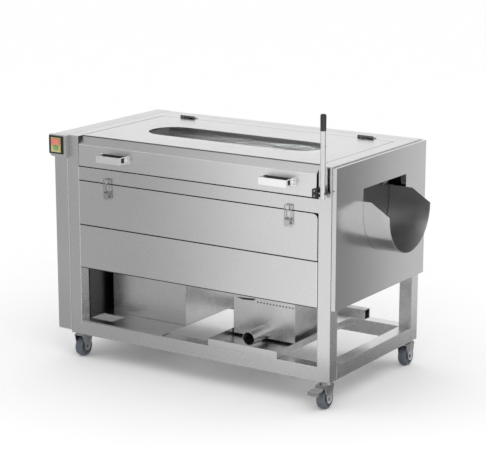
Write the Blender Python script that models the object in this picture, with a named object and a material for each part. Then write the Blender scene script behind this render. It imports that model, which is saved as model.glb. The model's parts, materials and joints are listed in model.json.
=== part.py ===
"""Vegetable washing and peeling machine with nine brush rollers in a square-tube frame.

The drum-shaped wash trough lies along X. Vegetables go in through the slot in the lid and come
out at the right end, where a hand lever lifts a gate above a half-round chute. A geared motor
turns the rollers by chain at the left end. Metres, +Z up, front towards -Y. Sizes below are
measured from the frame's front left outer corner and from the floor; the last section moves
the origin to the middle of the footprint.
"""

import math

import bpy
import bmesh
from mathutils import Vector

# Fits and sheets
GAP = 0.0003            # between pieces that touch
RUN = 0.0005            # around a turning pin or shaft
COVER_GAP = 0.0005      # between a cover or panel and the frame
SHEET = 0.0015          # stainless sheet of covers and panels
OVERRUN = 0.010         # how far a cutter passes what it cuts
WELD = 0.000002         # points closer than this are one

# Facets of round shapes and the angle from which an edge is sharp
PIN_SIDES = 8
EYE_SIDES = 10
ROUND_SIDES = 12
BAR_SIDES = 16
WHEEL_SIDES = 24
BEND_STEPS = 4
SLOT_STEPS = 8
SHARP_ANGLE = math.radians(35)

# Frame
FRAME_LENGTH = 1.2665
FRAME_DEPTH = 0.720
FRAME_HEIGHT = 0.850
TUBE = 0.056
TUBE_WALL = 0.002
FOOT_PLATE = 0.004
RAIL_HEIGHT = 0.0585
CROSSBAR_HEIGHT = 0.055
RIM_LEFT = 0.054
RIM_RIGHT = 0.0635
RIM_REAR = 0.064
RIM_FLANGE = 0.028

# Casters
CASTER_HEIGHT = 0.107
WHEEL_RADIUS = 0.040
WHEEL_WIDTH = 0.036
WHEEL_ROUND = 0.003
CASTER_TRAIL = 0.014
SWIVEL_RADIUS = 0.024
STEM_RADIUS = 0.006
STEM_LENGTH = 0.020
FORK_SHEET = 0.003
FORK_SIDE_GAP = 0.0025
FORK_AHEAD = 0.048
FORK_BEHIND = 0.018
FORK_PLATE_DROP = 0.009
AXLE_RADIUS = 0.004
AXLE_LAND = 0.018
LAND_START = math.radians(198)
LAND_END = math.radians(342)
PEDAL_REACH = 0.103
PEDAL_LENGTH = 0.034
PEDAL_WIDTH = 0.048
PEDAL_SHEET = 0.003
PEDAL_DROP = 0.022
PEDAL_LIP = 0.012
PEDAL_ARM = 0.010
PEDAL_PIVOT_Y = 0.041
PEDAL_PIVOT_DROP = 0.0165
PEDAL_HUB = 0.0035
PEDAL_PIN = 0.002

# Lid with feed slot
LID_SIDE_GAP = 0.002
LID_FRONT_GAP = 0.004
LID_REAR_GAP = 0.002
LID_FRONT = 0.124
LID_BEVEL_RUN = 0.031
LID_BEVEL_DROP = 0.034
LID_SKIRT = 0.025
FEED_LENGTH = 0.832
FEED_WIDTH = 0.206
FEED_FRONT = 0.206

# Lid hinges
HINGE_LENGTH = 0.072
HINGE_LEFT = 0.186
HINGE_RIGHT = 0.1935
HINGE_KNUCKLE = 0.006
HINGE_PIN = 0.003
HINGE_LEAF = 0.026
HINGE_SHEET = 0.0025
HINGE_MIDDLE_SHARE = 0.4

# Lid handles
HANDLE_LEFT = 0.246
HANDLE_RIGHT = 0.2335
HANDLE_LENGTH = 0.120
HANDLE_RIGHT_LENGTH = 0.126
HANDLE_REACH = 0.050
HANDLE_HEIGHT = 0.030
HANDLE_BAR = 0.003
HANDLE_FOOT = 0.015
HANDLE_BELOW_TOP = 0.060
HANDLE_WINDOW = 0.022

# Front panels
PANEL_DEPTH = 0.018
PANEL_END_GAP = 0.0035
PANEL_TOP_GAP = 0.004
PANEL_SEAM = 0.0045
ACCESS_HEIGHT = 0.183
LOWER_HEIGHT = 0.183
PANEL_CORNER = 0.020
PANEL_AXIS_IN = 0.006
PANEL_PIN = 0.003
PANEL_PIN_GRIP = 0.004

# Toggle latches
LATCH_LEFT = 0.207
LATCH_RIGHT = 0.1875
LATCH_HALF_WIDTH = 0.016
LATCH_BASE_SHEET = 0.0015
LATCH_BASE_LOW = 0.061
LATCH_BASE_HEIGHT = 0.054
LATCH_PIVOT_BELOW = 0.035
LATCH_PIVOT_OUT = 0.009
LATCH_EAR_IN = 0.0075
LATCH_EAR_OUT = 0.0095
LATCH_EAR_RADIUS = 0.004
LATCH_SIDE_OUT = 0.0125
LATCH_PIN = 0.002
LATCH_CRANK = 0.0085
LATCH_SIDE_REAR = 0.004
LATCH_SIDE_TAIL = 0.0125
LATCH_FACE_NEAR = 0.0045
LATCH_FACE_FAR = 0.0065
LATCH_FACE_BELOW = 0.003
LATCH_SIDE_TOP = 0.003
LATCH_HANDLE = 0.028
BAIL_WIRE = 0.003
BAIL_EYE = 0.0075
KEEPER_WIDTH = 0.012
KEEPER_HEIGHT = 0.016
KEEPER_REACH = 0.0125
KEEPER_RISE = 0.001

# Wash trough and end plates
PLATE = 0.003
PLATE_LEFT_GAP = 0.002
PLATE_FOOT = 0.560
PLATE_BELOW_TOP = 0.035
TROUGH_FRONT_GAP = 0.0052
TROUGH_REAR_GAP = 0.0008
TROUGH_AXIS_BELOW_TOP = 0.190
TROUGH_BELOW_TOP = 0.050
TROUGH_STEPS = 18
DRAIN_SLOT_LENGTH = 0.180
DRAIN_SLOT_WIDTH = 0.090

# Brush rollers
ROLLER_COUNT = 9
ROLLER_STEP = math.radians(20.3)
ROLLER_GAP = 0.0024
BRUSH_CLEARANCE = 0.009
BRUSH_END_GAP = 0.013
SHAFT_RADIUS = 0.012
BOSS_RADIUS = 0.018
BOSS_LENGTH = 0.012
BOSS_SIDES = 10
ROLLER_SIDES = 16

# Chain drive
SPROCKET_RADIUS = 0.030
SPROCKET_THICK = 0.005
SPROCKET_OUT = 0.030
SECOND_OUT = 0.050
SECOND_RADIUS = 0.045
SHAFT_END_OUT = 0.036
SECOND_END_OUT = 0.058
CHAIN_WIDTH = 0.008
CHAIN_THICK = 0.006
CHAIN_CLEARANCE = 0.0006
DRIVE_Y = 0.250
DRIVE_HEIGHT = 0.170
DRIVE_SHAFT = 0.011
DRIVE_GRIP = 0.030

# Side covers
GEAR_COVER_OUT = 0.070
GEAR_COVER_SEAT = 0.0015
GEAR_COVER_PAST = 0.010
GEAR_COVER_LOW = 0.005
GEAR_COVER_CORNER = 0.014
SIDE_COVER_DEPTH = 0.019
SIDE_COVER_FRONT = 0.004
SIDE_COVER_PAST = 0.006
SIDE_COVER_FOOT = 0.560
SIDE_COVER_BELOW_TOP = 0.004
CUT_OFFSET = 0.0015
CUT_CLEARANCE = 0.0035
CUT_BELOW_TOP = 0.117
JAMB_DEPTH = 0.023
JAMB_BELOW_TOP = 0.160
REAR_COVER_DEPTH = 0.018

# Discharge end
GATE_INSET = 0.055
GATE_SHEET = 0.002
GATE_RUN = 0.001
GATE_LAP = 0.005
GATE_BELOW_TOP = 0.115
GATE_STEP_BELOW_TOP = 0.160
GATE_STEP_WIDTH = 0.051
MOUTH_MARGIN = 0.067
MOUTH_BELOW_TOP = 0.110
CHUTE_BACK = 0.0208
CHUTE_BELOW = 0.029
CHUTE_LAP = 0.0075
CHUTE_WALL = 0.002
CHUTE_SIDE = 0.052
CHUTE_REACH = 0.1335
CHUTE_SLANT = 0.082
CHUTE_FLANGE = 0.0175
CHUTE_FLANGE_SHEET = 0.002
CHUTE_STEPS = 16

# Gate lever
LEVER_PIVOT_Y = 0.025
LEVER_PIVOT_BELOW_TOP = 0.0985
LEVER_X = 0.024
LEVER_ROD = 0.0105
LEVER_ABOVE_TOP = 0.204
LEVER_TAIL = 0.0221
LEVER_SHAFT = 0.006
GRIP_RADIUS = 0.0118
GRIP_LENGTH = 0.064
GRIP_CAP = 0.006
CRANK_LENGTH = 0.090
CRANK_HALF = 0.003
CRANK_THICK = 0.003
CRANK_X = 0.018
CRANK_PIN = 0.0022
TONGUE_THICK = 0.003
TONGUE_X = 0.012
TONGUE_HALF = 0.0025
TONGUE_PAST_PIVOT = 0.005
BRACKET_LENGTH = 0.080
SLOT_SIDE = 0.001
SLOT_END = 0.001
BLOCK_RIGHT = 0.0415
BLOCK_WIDTH = 0.021
BLOCK_DEPTH = 0.040
BLOCK_HEIGHT = 0.034

# Controls
CONTROL_LEFT = 0.078
CONTROL_WIDTH = 0.086
CONTROL_DEPTH = 0.0237
CONTROL_HEIGHT = 0.092
CONTROL_CORNER = 0.012
SWITCH_MARGIN = 0.0012
SWITCH_WIDTH = 0.0728
SWITCH_TOP = 0.005
SWITCH_HEIGHT = 0.075
SWITCH_PLATE = 0.003
STOP_WIDTH = 0.041
STOP_HEIGHT = 0.024
STOP_BELOW = 0.029
STOP_RAISE = 0.007
START_WIDTH = 0.022
START_HEIGHT = 0.016
START_BELOW = 0.0555
START_RAISE = 0.004
BUTTON_RUN = 0.0006
BUTTON_FLANGE = 0.0025

# Motor, reducer, cover and shelf
SHELF_SHEET = 0.003
SHELF_FRONT = 0.003
SHELF_HOLE_LEFT = 0.068
SHELF_HOLE_LENGTH = 0.112
SHELF_HOLE_FRONT = 0.049
SHELF_HOLE_WIDTH = 0.087
MOTOR_COVER_LEFT = 0.092
MOTOR_COVER_LENGTH = 0.377
MOTOR_COVER_FRONT = 0.174
MOTOR_COVER_REAR = 0.136
MOTOR_COVER_HIGH = 0.285
REDUCER_LEFT = 0.140
REDUCER_LENGTH = 0.100
REDUCER_WIDTH = 0.120
REDUCER_ABOVE = 0.065
REDUCER_HUB = 0.022
REDUCER_HUB_LENGTH = 0.018
MOTOR_RADIUS = 0.062
MOTOR_LENGTH = 0.190
MOTOR_FOOT_WIDTH = 0.090
MOTOR_BOX = 0.050
MOTOR_BOX_RISE = 0.028

# Sump with its drain pipe and overflow duct, and the tray, from the frame's right end and front
SUMP_TO_RIGHT = 0.2665
SUMP_LENGTH = 0.295
SUMP_FRONT = 0.180
SUMP_DEPTH = 0.3175
SUMP_LOW = 0.070
SUMP_SHARE = 0.62
NECK_LIP = 0.006
DRAIN_TO_RIGHT = 0.4045
DRAIN_Z = 0.1015
DRAIN_RADIUS = 0.0285
DRAIN_WALL = 0.002
DRAIN_MOUTH = 0.050
DUCT_TO_RIGHT = 0.1015
DUCT_FRONT = 0.455
DUCT_SHARE = 0.335
DUCT_SIZE = 0.040
DUCT_WALL = 0.002
TRAY_TO_RIGHT = 0.2395
TRAY_LENGTH = 0.327
TRAY_SHORT = 0.020
TRAY_HEIGHT = 0.030

# Water pipe
PIPE_RADIUS = 0.0105
PIPE_WALL = 0.002
PIPE_TO_REAR = 0.080
PIPE_BELOW_TOP = 0.075
PIPE_PAST = 0.004
INLET_TO_RIGHT = 0.1665
SPRAY_SLIT = 0.0015
SPRAY_END = 0.030

# Levels and edges that several pieces share
BOTTOM = CASTER_HEIGHT
TOP = BOTTOM + FRAME_HEIGHT
RAIL_TOP = BOTTOM + RAIL_HEIGHT
REAR_TUBE = FRAME_DEPTH - TUBE
RIGHT_POST = FRAME_LENGTH - TUBE
CROSSBAR_TOP = TOP - LID_FRONT - LID_FRONT_GAP
CROSSBAR_LOW = CROSSBAR_TOP - CROSSBAR_HEIGHT
RIM_EDGE = REAR_TUBE - RIM_REAR
LID_LEFT = TUBE + LID_SIDE_GAP
LID_RIGHT = FRAME_LENGTH - RIM_RIGHT - LID_SIDE_GAP
LID_REAR = RIM_EDGE - LID_REAR_GAP
HINGE_AXIS = (RIM_EDGE, TOP + HINGE_KNUCKLE + GAP)
PANEL_LEFT = TUBE + COVER_GAP
PANEL_RIGHT = RIGHT_POST - PANEL_END_GAP
ACCESS_TOP = CROSSBAR_LOW - PANEL_TOP_GAP
ACCESS_LOW = ACCESS_TOP - ACCESS_HEIGHT
LOWER_TOP = ACCESS_LOW - PANEL_SEAM
LOWER_LOW = LOWER_TOP - LOWER_HEIGHT
PANEL_AXIS = (PANEL_AXIS_IN, ACCESS_LOW + PANEL_AXIS_IN)
LATCH_AXIS = (-LATCH_PIVOT_OUT, CROSSBAR_LOW - LATCH_PIVOT_BELOW)
LATCH_PLACES = {"left": LATCH_LEFT, "right": FRAME_LENGTH - LATCH_RIGHT}
HINGE_PLACES = {"left": HINGE_LEFT, "right": FRAME_LENGTH - HINGE_RIGHT}
LEFT_PLATE = TUBE + PLATE_LEFT_GAP
GATE_X = FRAME_LENGTH - GATE_INSET
RIGHT_PLATE = GATE_X - GAP - PLATE
TROUGH_OUTER = (FRAME_DEPTH - 2 * TUBE - TROUGH_FRONT_GAP - TROUGH_REAR_GAP) / 2
TROUGH_INNER = TROUGH_OUTER - SHEET
TROUGH_Y = TUBE + TROUGH_FRONT_GAP + TROUGH_OUTER
TROUGH_Z = TOP - TROUGH_AXIS_BELOW_TOP
ROLLER_SHARE = math.sin(ROLLER_STEP / 2)
ROLLER_PITCH = (TROUGH_INNER - BRUSH_CLEARANCE + ROLLER_GAP / 2) / (1 + ROLLER_SHARE)
BRUSH_RADIUS = ROLLER_PITCH * ROLLER_SHARE - ROLLER_GAP / 2
GEAR_COVER_REAR = FRAME_DEPTH + GEAR_COVER_PAST
SIDE_COVER_REAR = FRAME_DEPTH + SIDE_COVER_PAST
CHUTE_AXIS = (TROUGH_Y + CHUTE_BACK, TROUGH_Z - CHUTE_BELOW)
MOUTH_RADIUS = ROLLER_PITCH - BOSS_RADIUS - MOUTH_MARGIN
CHUTE_RADIUS = MOUTH_RADIUS + CHUTE_LAP
GATE_RADIUS = MOUTH_RADIUS + GATE_LAP
GATE_STEP_Y = CHUTE_AXIS[0] + GATE_RADIUS - GATE_STEP_WIDTH
CHUTE_X = GATE_X + GATE_SHEET + GATE_RUN
CHUTE_END = FRAME_LENGTH + CHUTE_REACH
LEVER_AXIS = (-LEVER_PIVOT_Y, TOP - LEVER_PIVOT_BELOW_TOP)
LEVER_CENTRE = FRAME_LENGTH - LEVER_X
CRANK_LOW_X = FRAME_LENGTH - CRANK_X
TONGUE_LOW_X = FRAME_LENGTH - TONGUE_X
DRIVE_AXIS = (DRIVE_Y, BOTTOM + DRIVE_HEIGHT)
SHELF_TOP = RAIL_TOP + GAP + SHELF_SHEET
MOTOR_COVER_RIGHT = MOTOR_COVER_LEFT + MOTOR_COVER_LENGTH
SUMP_RIGHT = FRAME_LENGTH - SUMP_TO_RIGHT
SUMP_LEFT = SUMP_RIGHT - SUMP_LENGTH
SUMP_CENTRE = SUMP_RIGHT - SUMP_LENGTH / 2
PIPE_AXIS = (FRAME_DEPTH - PIPE_TO_REAR, TOP - PIPE_BELOW_TOP)
INLET_X = FRAME_LENGTH - INLET_TO_RIGHT
CASTER_LEFT = TUBE / 2
CASTER_RIGHT = FRAME_LENGTH - TUBE / 2
CASTER_FRONT = TUBE / 2
CASTER_REAR = FRAME_DEPTH - TUBE / 2
FRONT_MOST = CASTER_FRONT - PEDAL_REACH
REAR_MOST = FRAME_DEPTH + COVER_GAP + REAR_COVER_DEPTH
ORIGIN = Vector(((CHUTE_END - CONTROL_LEFT) / 2, (FRONT_MOST + REAR_MOST) / 2, 0.0))

# Finishes: colour, metallic, roughness
STEEL = ((0.62, 0.62, 0.61), 1.0, 0.32)
DARK_STEEL = ((0.20, 0.20, 0.20), 1.0, 0.45)
BLACK_PLASTIC = ((0.02, 0.02, 0.02), 0.0, 0.45)
GREY_PLASTIC = ((0.10, 0.11, 0.12), 0.0, 0.60)
RED_PLASTIC = ((0.55, 0.02, 0.02), 0.0, 0.35)
GREEN_PLASTIC = ((0.10, 0.45, 0.10), 0.0, 0.35)
BRISTLE = ((0.75, 0.75, 0.70), 0.0, 0.80)
PAINT = ((0.12, 0.20, 0.30), 0.0, 0.45)


# Shape helpers

def along(axis, station, u, v):
    """A point at a station on an axis, with the two other coordinates in order."""
    if axis == "X":
        return (station, u, v)
    if axis == "Y":
        return (u, station, v)
    return (u, v, station)


def arc(centre, radius, start, end, steps):
    """Points on an arc, both ends included."""
    points = []
    for index in range(steps + 1):
        angle = start + (end - start) * index / steps
        points.append((centre[0] + radius * math.cos(angle), centre[1] + radius * math.sin(angle)))
    return points


def ring(centre, radius, sides, turn=0.0):
    """The corners of a regular polygon."""
    return arc(centre, radius, turn, turn + math.tau * (sides - 1) / sides, sides - 1)


def prism(axis, outline, low, high):
    """An outline drawn out along an axis."""
    count = len(outline)
    points = [along(axis, low, u, v) for u, v in outline]
    points += [along(axis, high, u, v) for u, v in outline]
    faces = [tuple(range(count)), tuple(range(count, 2 * count))]
    for index in range(count):
        after = (index + 1) % count
        faces.append((index, after, count + after, count + index))
    return points, faces


def block(low, high):
    """A rectangular block between two corners."""
    outline = [(low[0], low[1]), (high[0], low[1]), (high[0], high[1]), (low[0], high[1])]
    return prism("Z", outline, low[2], high[2])


def turned(axis, centre, profile, sides, turn=0.0):
    """A turned shape from pairs of station and radius."""
    points = []
    for station, radius in profile:
        points += [along(axis, station, u, v) for u, v in ring(centre, radius, sides, turn)]
    last = len(points) - sides
    faces = [tuple(range(sides)), tuple(range(last, last + sides))]
    for step in range(len(profile) - 1):
        base = step * sides
        for index in range(sides):
            after = (index + 1) % sides
            faces.append((base + index, base + after, base + sides + after, base + sides + index))
    return points, faces


def rod(axis, centre, radius, low, high, sides=ROUND_SIDES):
    """A plain round bar."""
    return turned(axis, centre, [(low, radius), (high, radius)], sides)


def bore(axis, centre, radius, low, high, sides=ROUND_SIDES):
    """A round cutter whose flats keep the stated radius free."""
    return rod(axis, centre, radius / math.cos(math.pi / sides), low, high, sides)


def raw_object(name, solid):
    """A mesh object from points and faces, with its faces pointing out."""
    points, faces = solid
    mesh = bpy.data.meshes.new(name)
    shape = bmesh.new()
    corners = [shape.verts.new(point) for point in points]
    for face in faces:
        shape.faces.new([corners[index] for index in face])
    bmesh.ops.recalc_face_normals(shape, faces=shape.faces)
    shape.to_mesh(mesh)
    shape.free()
    body = bpy.data.objects.new(name, mesh)
    bpy.context.scene.collection.objects.link(body)
    return body


def make_material(name, finish):
    """A plain Principled material."""
    colour, metallic, roughness = finish
    material = bpy.data.materials.new(name)
    material.use_nodes = True
    shader = material.node_tree.nodes["Principled BSDF"]
    shader.inputs["Base Color"].default_value = (*colour, 1.0)
    shader.inputs["Metallic"].default_value = metallic
    shader.inputs["Roughness"].default_value = roughness
    return material


def make(name, finish, solids, cuts=(), origin=None, parent=None, added=()):
    """Join the solids, cut the cutters away, add the last ones and set the object on its origin."""
    body = raw_object(name, solids[0])
    helpers = []
    steps = [("UNION", solid) for solid in solids[1:]]
    steps += [("DIFFERENCE", cut) for cut in cuts]
    steps += [("UNION", solid) for solid in added]
    for operation, solid in steps:
        helper = raw_object("helper", solid)
        modifier = body.modifiers.new(operation.title(), "BOOLEAN")
        modifier.operation = operation
        modifier.solver = "EXACT"
        modifier.object = helper
        helpers.append(helper)
    if helpers:
        evaluated = body.evaluated_get(bpy.context.evaluated_depsgraph_get())
        joined = bpy.data.meshes.new_from_object(evaluated)
        body.modifiers.clear()
        body.data = joined
        for helper in helpers:
            bpy.data.objects.remove(helper, do_unlink=True)
    tidy(body.data)
    if origin is None:
        low = [min(vertex.co[axis] for vertex in body.data.vertices) for axis in range(3)]
        high = [max(vertex.co[axis] for vertex in body.data.vertices) for axis in range(3)]
        origin = [(low[axis] + high[axis]) / 2 for axis in range(3)]
    spot = Vector(origin)
    for vertex in body.data.vertices:
        vertex.co -= spot
    holder = parent if parent else machine
    body.parent = holder
    body.location = spot - homes[holder.name]
    homes[name] = spot
    body.data.name = name
    body.data.materials.clear()
    body.data.materials.append(make_material(name, finish))
    body.data.shade_smooth()
    body.data.set_sharp_from_angle(angle=SHARP_ANGLE)
    return body


def tidy(mesh):
    """Weld doubled points and drop edges inside flat faces."""
    shape = bmesh.new()
    shape.from_mesh(mesh)
    bmesh.ops.remove_doubles(shape, verts=shape.verts, dist=WELD)
    bmesh.ops.dissolve_degenerate(shape, dist=WELD, edges=shape.edges)
    shape.to_mesh(mesh)
    shape.free()


def tray(low, high, open_side, wall=SHEET):
    """A block and the cutter that leaves walls on all sides but the open one."""
    inner_low = [value + wall for value in low]
    inner_high = [value - wall for value in high]
    axis = "XYZ".index(open_side[1])
    if open_side[0] == "+":
        inner_high[axis] = high[axis] + OVERRUN
    else:
        inner_low[axis] = low[axis] - OVERRUN
    return block(low, high), block(inner_low, inner_high)


def u_outline(centre, radius, top, steps):
    """A half circle below its centre with straight sides up to a level."""
    points = arc(centre, radius, math.pi, math.tau, steps)
    return points + [(centre[0] + radius, top), (centre[0] - radius, top)]


# Start from an empty scene

for item in list(bpy.data.objects):
    bpy.data.objects.remove(item, do_unlink=True)

machine = bpy.data.objects.new("machine", None)
bpy.context.scene.collection.objects.link(machine)
machine.location = -ORIGIN
homes = {"machine": Vector((0.0, 0.0, 0.0))}


# Frame

def tube_void(low, high):
    """The hollow of a tube run between two corners."""
    return block([value + TUBE_WALL for value in low], [value - TUBE_WALL for value in high])


def frame_end(name, front, cross_low, cross_high, keepers, cuts):
    """Two posts with a bottom rail and a cross tube, all hollow."""
    back = front + TUBE
    solids = [block((0, front, BOTTOM), (TUBE, back, TOP)),
              block((RIGHT_POST, front, BOTTOM), (FRAME_LENGTH, back, TOP)),
              block((0, front, BOTTOM), (FRAME_LENGTH, back, RAIL_TOP)),
              block((0, front, cross_low), (FRAME_LENGTH, back, cross_high))]
    floor = BOTTOM + FOOT_PLATE - TUBE_WALL
    voids = [tube_void((0, front, floor), (TUBE, back, TOP)),
             tube_void((RIGHT_POST, front, floor), (FRAME_LENGTH, back, TOP)),
             tube_void((0, front, floor), (FRAME_LENGTH, back, RAIL_TOP)),
             tube_void((0, front, cross_low), (FRAME_LENGTH, back, cross_high))]
    middle = front + TUBE / 2
    stems = [bore("Z", (x, middle), STEM_RADIUS + RUN, BOTTOM - OVERRUN, BOTTOM + FOOT_PLATE + OVERRUN)
             for x in (CASTER_LEFT, CASTER_RIGHT)]
    return make(name, STEEL, solids + keepers, voids + stems + cuts)


def keeper(x):
    """A peg on the crossbar that the latch bail goes round."""
    low = CROSSBAR_LOW + KEEPER_RISE
    return block((x - KEEPER_WIDTH / 2, -KEEPER_REACH, low),
                 (x + KEEPER_WIDTH / 2, TUBE_WALL / 2, low + KEEPER_HEIGHT))


def side_rail(name, low_x):
    """A bottom side rail between the front and the rear frame."""
    low = (low_x, TUBE + GAP, BOTTOM)
    high = (low_x + TUBE, REAR_TUBE - GAP, RAIL_TOP)
    hollow = block((low[0] + TUBE_WALL, low[1] - OVERRUN, low[2] + TUBE_WALL),
                   (high[0] - TUBE_WALL, high[1] + OVERRUN, high[2] - TUBE_WALL))
    return make(name, STEEL, [block(low, high)], [hollow])


def build_frame():
    """Front frame, rear frame, side rails and the U-shaped top rim."""
    gate_slot = block((CRANK_LOW_X - SLOT_SIDE, -OVERRUN, LEVER_AXIS[1] - CRANK_HALF - SLOT_END),
                      (TONGUE_LOW_X + TONGUE_THICK + SLOT_SIDE, TUBE + OVERRUN,
                       LEVER_AXIS[1] + CRANK_LENGTH + CRANK_HALF + SLOT_END))
    hinge_bore = bore("X", PANEL_AXIS, PANEL_PIN + RUN,
                      TUBE - TUBE_WALL - OVERRUN, RIGHT_POST + TUBE_WALL + OVERRUN)
    frame_end("front_frame", 0.0, CROSSBAR_LOW, CROSSBAR_TOP,
              [keeper(x) for x in LATCH_PLACES.values()], [gate_slot, hinge_bore])
    frame_end("rear_frame", REAR_TUBE, TOP - TUBE, TOP, [], [])
    side_rail("left_bottom_rail", 0.0)
    side_rail("right_bottom_rail", RIGHT_POST)
    front = TUBE + GAP
    rear = REAR_TUBE - GAP
    under = TOP - SHEET
    low = TOP - RIM_FLANGE
    right = FRAME_LENGTH - RIM_RIGHT
    solids = [block((0, RIM_EDGE, under), (FRAME_LENGTH, rear, TOP)),
              block((0, front, under), (RIM_LEFT, rear, TOP)),
              block((right, front, under), (FRAME_LENGTH, rear, TOP)),
              block((0, front, low), (SHEET, rear, TOP)),
              block((FRAME_LENGTH - SHEET, front, low), (FRAME_LENGTH, rear, TOP)),
              block((RIM_LEFT - SHEET, front, low), (RIM_LEFT, RIM_EDGE + SHEET, TOP)),
              block((right, front, low), (right + SHEET, RIM_EDGE + SHEET, TOP)),
              block((RIM_LEFT - SHEET, RIM_EDGE, low), (right + SHEET, RIM_EDGE + SHEET, TOP))]
    make("top_rim", STEEL, solids)


# Casters

def build_caster(place, x, y, ahead, pedal):
    """A swivel fork with its wheel to one side of the stem, and a brake pedal on some."""
    top = BOTTOM - GAP
    plate_top = top - FORK_PLATE_DROP
    plate_low = plate_top - FORK_SHEET
    pivot_z = top - PEDAL_PIVOT_DROP
    inner = WHEEL_WIDTH / 2 + FORK_SIDE_GAP
    outer = inner + FORK_SHEET
    leg = [(-FORK_BEHIND, plate_top), (FORK_AHEAD, plate_top), (FORK_AHEAD, pivot_z)]
    leg += reversed(arc((CASTER_TRAIL, WHEEL_RADIUS), AXLE_LAND, LAND_START, LAND_END, BEND_STEPS))
    leg = [(y + ahead * reach, level) for reach, level in leg]
    axle = (y + ahead * CASTER_TRAIL, WHEEL_RADIUS)
    edges = sorted((y + ahead * FORK_AHEAD, y - ahead * FORK_BEHIND))
    solids = [block((x - outer, edges[0], plate_low), (x + outer, edges[1], plate_top)),
              prism("X", leg, x - outer, x - inner),
              prism("X", leg, x + inner, x + outer),
              rod("X", axle, AXLE_RADIUS, x - outer, x + outer),
              rod("Z", (x, y), SWIVEL_RADIUS, plate_low, top, BAR_SIDES),
              rod("Z", (x, y), STEM_RADIUS, plate_top, top + STEM_LENGTH)]
    pivot = (y - PEDAL_PIVOT_Y, pivot_z)
    cuts = []
    if pedal:
        cuts.append(bore("X", pivot, PEDAL_PIN + GAP, x - outer - OVERRUN, x + outer + OVERRUN, PIN_SIDES))
    fork = make("caster_fork_" + place, STEEL, solids, cuts, (x, y, top))

    half = WHEEL_WIDTH / 2
    tread = WHEEL_RADIUS / math.cos(math.pi / WHEEL_SIDES)
    profile = [(x - half, tread - WHEEL_ROUND), (x - half + WHEEL_ROUND, tread),
               (x + half - WHEEL_ROUND, tread), (x + half, tread - WHEEL_ROUND)]
    wheel = turned("X", axle, profile, WHEEL_SIDES, math.pi / WHEEL_SIDES)
    hole = bore("X", axle, AXLE_RADIUS + RUN, x - half - OVERRUN, x + half + OVERRUN)
    make("caster_wheel_" + place, GREY_PLASTIC, [wheel], [hole], (x, *axle), fork)

    if pedal:
        tip = y - PEDAL_REACH
        sole = CASTER_HEIGHT - PEDAL_DROP
        hub = inner - RUN
        arm = [(pivot[0] + PEDAL_HUB, pivot_z - PEDAL_HUB), (pivot[0] + PEDAL_HUB, pivot_z + PEDAL_HUB),
               (pivot[0] - PEDAL_ARM, pivot_z + PEDAL_HUB),
               (tip + PEDAL_LENGTH, sole + PEDAL_SHEET), (tip, sole + PEDAL_SHEET), (tip, sole),
               (tip + PEDAL_LENGTH, sole), (pivot[0] - PEDAL_ARM, pivot_z - PEDAL_HUB)]
        pad = [(tip + PEDAL_LENGTH, sole), (tip + PEDAL_LENGTH, sole + PEDAL_SHEET),
               (tip, sole + PEDAL_SHEET), (tip, sole - PEDAL_LIP),
               (tip + PEDAL_SHEET, sole - PEDAL_LIP), (tip + PEDAL_SHEET, sole)]
        solids = [prism("X", arm, x - hub, x + hub),
                  prism("X", pad, x - PEDAL_WIDTH / 2, x + PEDAL_WIDTH / 2),
                  rod("X", pivot, PEDAL_PIN, x - outer, x + outer, PIN_SIDES)]
        make("brake_pedal_" + place, STEEL, solids, (), (x, *pivot), fork)


def build_casters():
    """Four casters, with brakes on the front right and the rear left."""
    build_caster("front_left", CASTER_LEFT, CASTER_FRONT, 1, False)
    build_caster("front_right", CASTER_RIGHT, CASTER_FRONT, -1, True)
    build_caster("rear_left", CASTER_LEFT, CASTER_REAR, -1, True)
    build_caster("rear_right", CASTER_RIGHT, CASTER_REAR, -1, False)


# Lid, hinges and handles

def slot_outline(x, y, length, width):
    """A long hole with round ends."""
    reach = (length - width) / 2
    points = arc((x + reach, y), width / 2, -math.pi / 2, math.pi / 2, SLOT_STEPS)
    return points + arc((x - reach, y), width / 2, math.pi / 2, math.pi * 1.5, SLOT_STEPS)


def lid_profile(inset, skirt_low, front_low, rear):
    """The lid's section in Y and Z, a sheet's depth inside the outer face."""
    high = TOP - inset
    slope = inset * math.tan(math.atan2(LID_BEVEL_DROP, LID_BEVEL_RUN) / 2)
    return [(inset, front_low), (inset, TOP - LID_BEVEL_DROP - slope),
            (LID_BEVEL_RUN + slope, high), (rear, high), (rear, skirt_low)]


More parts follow.
